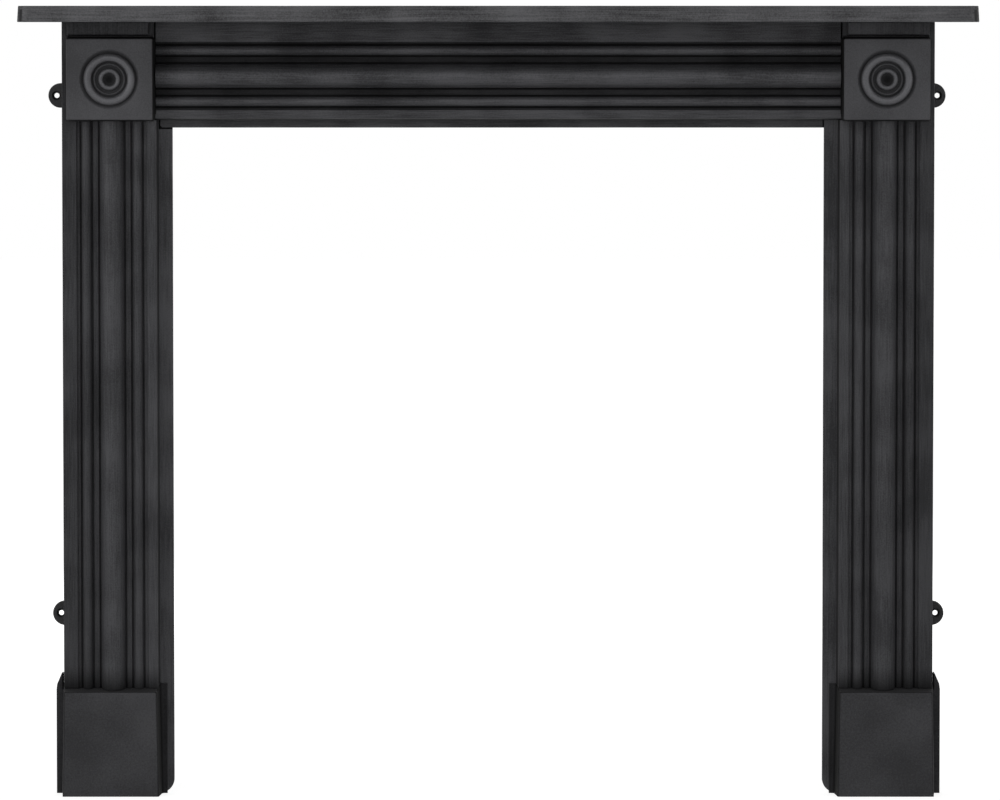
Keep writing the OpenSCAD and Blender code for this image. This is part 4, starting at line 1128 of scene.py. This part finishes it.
def graphite_iron(name, rgb, polish, stroke, streak=0.34, flank=0, corner=0, inner=0):
    """Cast iron rubbed with graphite paste and buffed. Its rows give, by the distance out from the wall, a share that
    is partly the polish the brush leaves on what stands forward and partly painted light: painted shade darkens the
    grooves, fillets, sides and wings, and painted highlights lighten the crowns. Where the share is high the iron turns
    half metallic and satin, and where it is low it stays dull black. It leaves fine strokes along one direction and
    slow clouds of more or less polish, over the fine grain of the sand. stroke gives the length of a stroke along X, Y
    and Z in millimetres, and streak how far it strays from the mean tone. flank is how far from the middle, in metres,
    the open outer side of the piece begins, which the brush reaches at any depth. corner is the height in metres of a
    ledge that the mouldings
    stand on: painted shade, along with less polish, darkens the corner above it and fades out over a short height,
    while the slip near the wall keeps its tone. inner is how far from the middle, in metres, the moulding begins: its
    tone falls from there, beside the opening, to its flank."""
    made, tree, out, spot = material(name)
    if not tree:
        return made
    # the share by depth: polish, with painted shade and painted highlights in its rows
    reach = by_depth(tree, spot, polish)
    xyz = node(tree, "ShaderNodeSeparateXYZ", {0: spot}).outputs
    # painted shade in the corner above the ledge, with less polish there; the slip near the wall is left as it is
    if corner:
        above = node(tree, "ShaderNodeMapRange", {0: xyz["Z"], 1: corner, 2: corner + CORNER_SHADE_FADE, 3: 0.15, 4: 1})
        behind = node(tree, "ShaderNodeMapRange", {0: xyz["Y"], 1: WALL_Y - 24 * MM, 2: WALL_Y - 20 * MM})
        open_part = node(tree, "ShaderNodeMath", {0: above.outputs[0], 1: behind.outputs[0]}, operation="MAXIMUM")
        reach = node(tree, "ShaderNodeMath", {0: reach, 1: open_part.outputs[0]}, operation="MULTIPLY").outputs[0]
    if flank:
        across = node(tree, "ShaderNodeMath", {0: xyz["X"]}, operation="ABSOLUTE")
        # the tone falls across the moulding from its inner edge, beside the opening, to its flank
        if inner:
            across_tone = node(tree, "ShaderNodeMapRange", {0: across.outputs[0], 1: inner, 2: flank, 3: 1.14, 4: 0.86})
            reach = node(tree, "ShaderNodeMath", {0: reach, 1: across_tone.outputs[0]}, operation="MULTIPLY").outputs[0]
        side = node(tree, "ShaderNodeMapRange", {0: across.outputs[0], 1: flank, 2: flank + MM, 4: FLANK_POLISH})
        reach = node(tree, "ShaderNodeMath", {0: reach, 1: side.outputs[0]}, operation="MAXIMUM").outputs[0]
    scale = [1 / (length * MM) for length in stroke]
    stretched = node(tree, "ShaderNodeMapping", {"Vector": spot, "Scale": scale}).outputs["Vector"]
    strokes = node(tree, "ShaderNodeTexNoise", {"Vector": stretched, "Scale": 1, "Detail": 3, "Roughness": 0.65})
    clouds = node(tree, "ShaderNodeTexNoise", {"Vector": spot, "Scale": 1 / (90 * MM), "Detail": 2})
    sand = node(tree, "ShaderNodeTexNoise", {"Vector": spot, "Scale": 1 / (1.8 * MM), "Detail": 2})
    fine = node(tree, "ShaderNodeMath", {0: sand.outputs["Fac"], 1: 0.7, 2: strokes.outputs["Fac"]},
                operation="MULTIPLY_ADD")
    mixed = node(tree, "ShaderNodeMath", {0: clouds.outputs["Fac"], 1: 1.3, 2: fine.outputs[0]},
                 operation="MULTIPLY_ADD")
    tone = node(tree, "ShaderNodeMapRange", {0: mixed.outputs[0], 1: 1.2, 2: 1.8, 3: 1 - streak, 4: 1 + streak})
    value = node(tree, "ShaderNodeMath", {0: tone.outputs[0], 1: reach}, operation="MULTIPLY").outputs[0]
    tint = node(tree, "ShaderNodeVectorMath", {0: tuple(rgb), "Scale": value}, operation="SCALE").outputs[0]
    rough = node(tree, "ShaderNodeMapRange", {0: value, 1: 0, 2: 0.5, 3: 0.95, 4: 0.45}).outputs[0]
    metal = node(tree, "ShaderNodeMapRange", {0: reach, 1: 0, 2: 1, 3: 0.03, 4: 0.3}).outputs[0]
    raised = node(tree, "ShaderNodeBump", {"Height": sand.outputs["Fac"], "Distance": GRAIN, "Strength": 1})
    brushed = node(tree, "ShaderNodeBump", {"Height": strokes.outputs["Fac"], "Distance": 0.02 * MM,
                                            "Strength": 1, "Normal": raised.outputs[0]})
    shader = node(tree, "ShaderNodeBsdfPrincipled", {
        "Base Color": tint, "Roughness": rough, "Metallic": metal, "Specular IOR Level": 0.12,
        "Normal": brushed.outputs[0]})
    tree.links.new(shader.outputs[0], out.inputs[0])
    return made


def shelf_iron(scene):
    """Linished and graphite polished: long strokes across the shelf, a little brighter than the rest."""
    return graphite_iron("Linished graphite polished cast iron", scene.surround_colours.shelf, SHELF_POLISH,
                         (80, 3, 1.6), 0.55)


def frieze_iron(scene):
    """Graphite polish rubbed along the frieze, so its strokes run across."""
    return graphite_iron("Graphite polished cast iron rubbed across", scene.surround_colours.polished,
                         FRIEZE_POLISH_AND_SHADE, (45, 3, 1.6), 0.4)


def jamb_iron(scene):
    """Graphite polish rubbed up and down the jambs."""
    at = Places(scene)
    return graphite_iron("Graphite polished cast iron rubbed upright", scene.surround_colours.polished,
                         JAMB_POLISH_AND_SHADE, (1.6, 3, 50), 0.35, at.outer, at.plinth_height, at.inner)


def block_iron(scene):
    """Graphite polish buffed with short strokes round the bullseye. Its rings are lighter, partly from more polish and
    partly as a painted highlight, and its cove, dimple and sides darker as painted shade.
    """
    at = Places(scene)
    return graphite_iron("Graphite polished cast iron block", scene.surround_colours.polished, BLOCK_POLISH_SHADE_AND_HIGHLIGHT,
                         (2, 3, 2), 0.18, at.block_x + at.block_half_x)


def plinth_iron(scene):
    """Graphite polish in broad, soft patches on the plain plinth."""
    return graphite_iron("Graphite polished cast iron plinth", scene.surround_colours.polished, PLINTH_POLISH_AND_SHADE,
                         (3, 3, 3), 0.24, Places(scene).plinth_outer)


def plain_metal(name, rgb, metallic, low, high, grit, bump, rows=((0, 1), (200, 1))):
    """A metal or painted finish with even grit: noise of that size in millimetres varies its colour a little
    and its roughness from low to high, and raises it by bump millimetres. rows darkens it by depth."""
    made, tree, out, spot = material(name)
    if not tree:
        return made
    fine = node(tree, "ShaderNodeTexNoise", {"Vector": spot, "Scale": 1 / (grit * MM), "Detail": 5, "Roughness": 0.6})
    wide = node(tree, "ShaderNodeTexNoise", {"Vector": spot, "Scale": 1 / (30 * grit * MM), "Detail": 3})
    mixed = node(tree, "ShaderNodeMath", {0: fine.outputs["Fac"], 1: wide.outputs["Fac"]}, operation="ADD")
    tone = node(tree, "ShaderNodeMapRange", {0: mixed.outputs[0], 1: 0.7, 2: 1.3, 3: 0, 4: 1})
    level = node(tree, "ShaderNodeMapRange", {0: tone.outputs[0], 3: 0.8, 4: 1.2}).outputs[0]
    if rows[0][1] < 1:
        level = node(tree, "ShaderNodeMath", {0: level, 1: by_depth(tree, spot, rows)}, operation="MULTIPLY").outputs[0]
    tint = node(tree, "ShaderNodeVectorMath", {0: tuple(rgb), "Scale": level}, operation="SCALE").outputs[0]
    rough = node(tree, "ShaderNodeMapRange", {0: mixed.outputs[0], 1: 0.7, 2: 1.3, 3: high, 4: low})
    raised = node(tree, "ShaderNodeBump", {"Height": fine.outputs["Fac"], "Distance": bump * MM, "Strength": 1})
    shader = node(tree, "ShaderNodeBsdfPrincipled", {
        "Base Color": tint, "Roughness": rough.outputs[0], "Metallic": metallic,
        "Specular IOR Level": 0.5 if metallic == 1 else 0.2, "Normal": raised.outputs[0]})
    tree.links.new(shader.outputs[0], out.inputs[0])
    return made


def cast_back(scene):
    """The sand-cast back, never polished and thinly painted black: coarse grain and dull."""
    return plain_metal("Sand cast iron back", scene.surround_colours.rough, 0.2, 0.65, 0.85, 1.6, 0.35)


def lug_paint(scene):
    """Cast lugs under dull black paint, which softens their grain, with painted shade darkening the countersink and the
    sides.
    """
    return plain_metal("Black painted cast iron lug", scene.surround_colours.lug, 0.0, 0.5, 0.65, 1.2, 0.12,
                       LUG_SHADE)


def black_oxide(scene):
    """Forged and machined steel with black oxide: dark, and smoother than the castings."""
    return plain_metal("Black oxide steel", scene.surround_colours.black_steel, 1.0, 0.3, 0.45, 0.5, 0.01)


def zinc_plate(scene):
    """Stamped steel with bright zinc plating, slightly clouded."""
    return plain_metal("Zinc plated steel", scene.surround_colours.zinc, 1.0, 0.25, 0.4, 0.6, 0.005)


# ---------------------------------------------------------------- studio

def seen_directly(tree):
    """1 for rays from the camera and for those that metal or glass reflects or lets through, 0 for the rest."""
    rays = node(tree, "ShaderNodeLightPath").outputs
    both = node(tree, "ShaderNodeMath", {0: rays["Is Camera Ray"], 1: rays["Is Glossy Ray"]}, operation="MAXIMUM")
    return node(tree, "ShaderNodeMath", {0: both.outputs[0], 1: rays["Is Transmission Ray"]},
                operation="MAXIMUM").outputs[0]


def make_floor(scene):
    """A round floor, as rings about the middle. Seen directly it is white but for the object's soft shadow,
    which its glow leaves room for near the middle only."""
    reach = np.array([0, 1, 2, 4, 8, 20])[:, None]
    angle = np.linspace(0, 2 * np.pi, 64, endpoint=False)
    floor = solid(np.stack(np.broadcast_arrays(reach * np.cos(angle), reach * np.sin(angle), -0.2 * MM), axis=-1),
                  "open")
    floor.name = "studio_floor"
    made, tree, out, spot = material("Studio paper floor")
    paper = node(tree, "ShaderNodeBsdfDiffuse", {"Color": shade(scene.surround_colours.studio, 1)})
    faint = node(tree, "ShaderNodeBsdfDiffuse", {"Color": shade(scene.surround_colours.studio, 0.4)})
    distance = node(tree, "ShaderNodeVectorMath", {0: spot}, operation="LENGTH").outputs["Value"]
    strength = node(tree, "ShaderNodeMapRange", {0: distance, 1: 0.8, 2: 3, 3: 0.86, 4: 1})
    glow = node(tree, "ShaderNodeEmission", {"Color": (1, 1, 1, 1), "Strength": strength.outputs[0]})
    bright = node(tree, "ShaderNodeAddShader", {0: faint.outputs[0], 1: glow.outputs[0]})
    mixed = node(tree, "ShaderNodeMixShader", {0: seen_directly(tree), 1: paper.outputs[0], 2: bright.outputs[0]})
    tree.links.new(mixed.outputs[0], out.inputs[0])
    floor.data.materials.append(made)


def make_world(scene):
    """White where the camera or metal sees it, and a dim even light on everything else."""
    world = bpy.data.worlds.new("Studio")
    world.use_nodes = True
    tree = world.node_tree
    tree.nodes.clear()
    dim = node(tree, "ShaderNodeBackground", {"Color": (1, 1, 1, 1), "Strength": 0.12})
    white = node(tree, "ShaderNodeBackground", {"Color": (1, 1, 1, 1), "Strength": 1})
    mixed = node(tree, "ShaderNodeMixShader", {0: seen_directly(tree), 1: dim.outputs[0], 2: white.outputs[0]})
    out = node(tree, "ShaderNodeOutputWorld")
    tree.links.new(mixed.outputs[0], out.inputs[0])
    scene.world = world


LAMPS = (
    # name, place, width, height, what it faces, watts
    ("Left softbox", (-1.9, -0.9, 1.1), 1.0, 1.2, (-0.4, 0, 0.95), 7.5),
    ("Right softbox", (1.9, -0.9, 1.1), 1.0, 1.2, (0.4, 0, 0.95), 7.5),
    ("Left front softbox", (-2.4, -2.4, 1.3), 0.8, 1.0, (-0.4, 0, 1.0), 12),
    ("Front softbox", (0, -4.0, 1.25), 2.4, 0.6, (0, 0, 0.95), 15),
    ("High softbox", (0, -4.5, 2.3), 3.0, 0.8, (0, 0, 0.9), 16),
    ("Overhead softbox", (0, -1.6, 2.6), 3.0, 0.8, (0, 0, 0.9), 9),
    ("Back softbox", (0, 3.5, 1.6), 3.0, 1.5, (0, 0, 0.6), 60),
)


def make_lamps(scene):
    """Soft lamps round the surround. The camera doesn't see them."""
    for name, spot, width, height, target, watts in LAMPS:
        lamp = bpy.data.lights.new(name, "AREA")
        lamp.shape = "RECTANGLE"
        lamp.size, lamp.size_y, lamp.energy = width, height, watts
        holder = bpy.data.objects.new(name, lamp)
        holder.location = spot
        holder.rotation_euler = (Vector(target) - holder.location).to_track_quat("-Z", "Y").to_euler()
        holder.visible_camera = False
        scene.collection.objects.link(holder)


def make_camera(scene):
    """The photograph's view: level with the shelf, a long lens, pitched down a little."""
    camera = bpy.data.cameras.new("Camera")
    camera.lens = 231.56
    camera.sensor_width = 36
    holder = bpy.data.objects.new("Camera", camera)
    holder.location = (0.0025, -8.9675, 1.095)
    holder.rotation_euler = (math.radians(90 - 3.4206), 0, 0)
    scene.collection.objects.link(holder)
    scene.camera = holder
    scene.view_settings.view_transform = "Standard"


# ---------------------------------------------------------------- operators

class SURROUND_OT_shelf(bpy.types.Operator):
    """Builds the mantel shelf"""
    bl_idname = "surround.shelf"
    bl_label = "Mantel Shelf"

    def execute(self, context):
        make_shelf(context.scene)
        return {"FINISHED"}


class SURROUND_OT_frieze(bpy.types.Operator):
    """Builds the moulded frieze"""
    bl_idname = "surround.frieze"
    bl_label = "Frieze"

    def execute(self, context):
        make_frieze(context.scene)
        return {"FINISHED"}


class SURROUND_OT_jambs(bpy.types.Operator):
    """Builds the two moulded jambs"""
    bl_idname = "surround.jambs"
    bl_label = "Jambs"

    def execute(self, context):
        for side in SIDES.values():
            make_jamb(context.scene, side)
        return {"FINISHED"}


class SURROUND_OT_corner_blocks(bpy.types.Operator):
    """Builds the two corner blocks with their bullseyes"""
    bl_idname = "surround.corner_blocks"
    bl_label = "Corner Blocks"

    def execute(self, context):
        for side in SIDES.values():
            make_corner_block(context.scene, side)
        return {"FINISHED"}


class SURROUND_OT_plinths(bpy.types.Operator):
    """Builds the two plinth blocks"""
    bl_idname = "surround.plinths"
    bl_label = "Plinth Blocks"

    def execute(self, context):
        for side in SIDES.values():
            make_plinth(context.scene, side)
        return {"FINISHED"}


class SURROUND_OT_lugs(bpy.types.Operator):
    """Builds the four wall lugs"""
    bl_idname = "surround.lugs"
    bl_label = "Wall Lugs"

    def execute(self, context):
        for level in ("upper", "lower"):
            for side in SIDES.values():
                make_lug(context.scene, level, side)
        return {"FINISHED"}


class SURROUND_OT_bolts(bpy.types.Operator):
    """Builds the bolts, nuts and washers that hold the castings together"""
    bl_idname = "surround.bolts"
    bl_label = "Bolts, Nuts and Washers"

    def execute(self, context):
        scene = context.scene
        c, f = scene.surround_castings, scene.surround_fasteners
        at = Places(scene)
        black, zinc = ("black_steel", "poles"), ("zinc_steel", "loop")
        seat = at.top - c.wall - f.washer_plate
        spots = [(x, at.joint_depth, seat) for x in (-at.centre, -at.shelf_bolts, at.shelf_bolts, at.centre)]
        grip = c.wall + f.washer_plate + f.thread
        fasteners(scene, "shelf_bolts", hex_bolt(f, grip - 1 * MM), spots, "up", 1, *black)
        fasteners(scene, "shelf_washers", washer(f), spots, "up", 1, *zinc)
        for label, side in SIDES.items():
            ends = [(at.joint_depth, at.joint_z + step * f.joint_spread) for step in (-1, 1)]
            seat, far = at.joint - c.wall - f.washer_plate, at.joint + c.wall
            near_spots = [(seat, *end) for end in ends]
            far_spots = [(far, *end) for end in ends]
            nut_spots = [(far + f.washer_plate, *end) for end in ends]
            length = 2 * (c.wall + f.washer_plate) + f.nut + 2 * MM
            fasteners(scene, f"{label}_frieze_bolts", hex_bolt(f, length), near_spots, "across", side, *black)
            fasteners(scene, f"{label}_frieze_washers", washer(f), near_spots + far_spots, "across", side, *zinc)
            fasteners(scene, f"{label}_frieze_nuts", hex_nut(f), nut_spots, "across", side, "black_steel", "loop")
            spots = [(at.block_x + step * f.block_spread, at.flat_back - f.washer_plate, at.block_z)
                     for step in (-1, 1)]
            fasteners(scene, f"{label}_corner_block_bolts", hex_bolt(f, grip), spots, "out", side, *black)
            fasteners(scene, f"{label}_corner_block_washers", washer(f), spots, "out", side, *zinc)
            spots = [(at.centre + step * f.plinth_spread, c.rebate - f.washer_plate, at.plinth_bolt_z)
                     for step in (-1, 1)]
            fasteners(scene, f"{label}_plinth_bolts", hex_bolt(f, grip), spots, "out", side, *black)
            fasteners(scene, f"{label}_plinth_washers", washer(f), spots, "out", side, *zinc)
        return {"FINISHED"}


class SURROUND_OT_lug_screws(bpy.types.Operator):
    """Builds the slotted countersunk screws that hold the lugs to the jambs"""
    bl_idname = "surround.lug_screws"
    bl_label = "Lug Screws"

    def execute(self, context):
        scene = context.scene
        u, f = scene.surround_lugs, scene.surround_fasteners
        at = Places(scene)
        slot, head = 1.6 * MM, 2 * f.bolt
        for label, side in SIDES.items():
            spots = [(at.lug_screw, f.clearance, z) for z in at.lug_z.values()]
            slots = [mirrored(outward(rectangle(at.lug_screw - head, z - slot / 2, at.lug_screw + head,
                                                z + slot / 2), f.clearance - OVER, f.clearance + slot), side)
                     for z in at.lug_z.values()]
            fasteners(scene, f"{label}_lug_screws", countersunk_screw(f, u.plate + f.thread), spots, "out", side,
                      "black_steel", "poles", slots)
        return {"FINISHED"}


class SURROUND_OT_studio(bpy.types.Operator):
    """Builds the floor, the white surroundings, the lamps and the camera"""
    bl_idname = "surround.studio"
    bl_label = "Studio"

    def execute(self, context):
        make_floor(context.scene)
        make_world(context.scene)
        make_lamps(context.scene)
        make_camera(context.scene)
        return {"FINISHED"}


class SURROUND_PT_panel(bpy.types.Panel):
    """Sizes, colours and builders of the fire surround"""
    bl_idname = "SURROUND_PT_panel"
    bl_label = "Cast Iron Fire Surround"
    bl_space_type = "VIEW_3D"
    bl_region_type = "UI"
    bl_category = "Surround"

    def draw(self, context):
        for attribute, group in GROUPS.items():
            box = self.layout.box()
            box.label(text=group.__doc__)
            for field in group.__annotations__:
                box.prop(getattr(context.scene, attribute), field)
        for builder in BUILDERS:
            self.layout.operator(builder.bl_idname)


BUILDERS = (
    SURROUND_OT_studio, SURROUND_OT_shelf, SURROUND_OT_frieze, SURROUND_OT_jambs, SURROUND_OT_corner_blocks,
    SURROUND_OT_plinths, SURROUND_OT_lugs, SURROUND_OT_bolts, SURROUND_OT_lug_screws,
)


# ---------------------------------------------------------------- run

def register():
    for kind in (*GROUPS.values(), *BUILDERS, SURROUND_PT_panel):
        bpy.utils.register_class(kind)
    for attribute, group in GROUPS.items():
        setattr(bpy.types.Scene, attribute, PointerProperty(type=group))


def unregister():
    for attribute in GROUPS:
        delattr(bpy.types.Scene, attribute)
    for kind in (SURROUND_PT_panel, *reversed(BUILDERS), *reversed(GROUPS.values())):
        bpy.utils.unregister_class(kind)


def main():
    register()
    for builder in BUILDERS:
        module, name = builder.bl_idname.split(".")
        getattr(getattr(bpy.ops, module), name)()


if __name__ == "__main__":
    main()
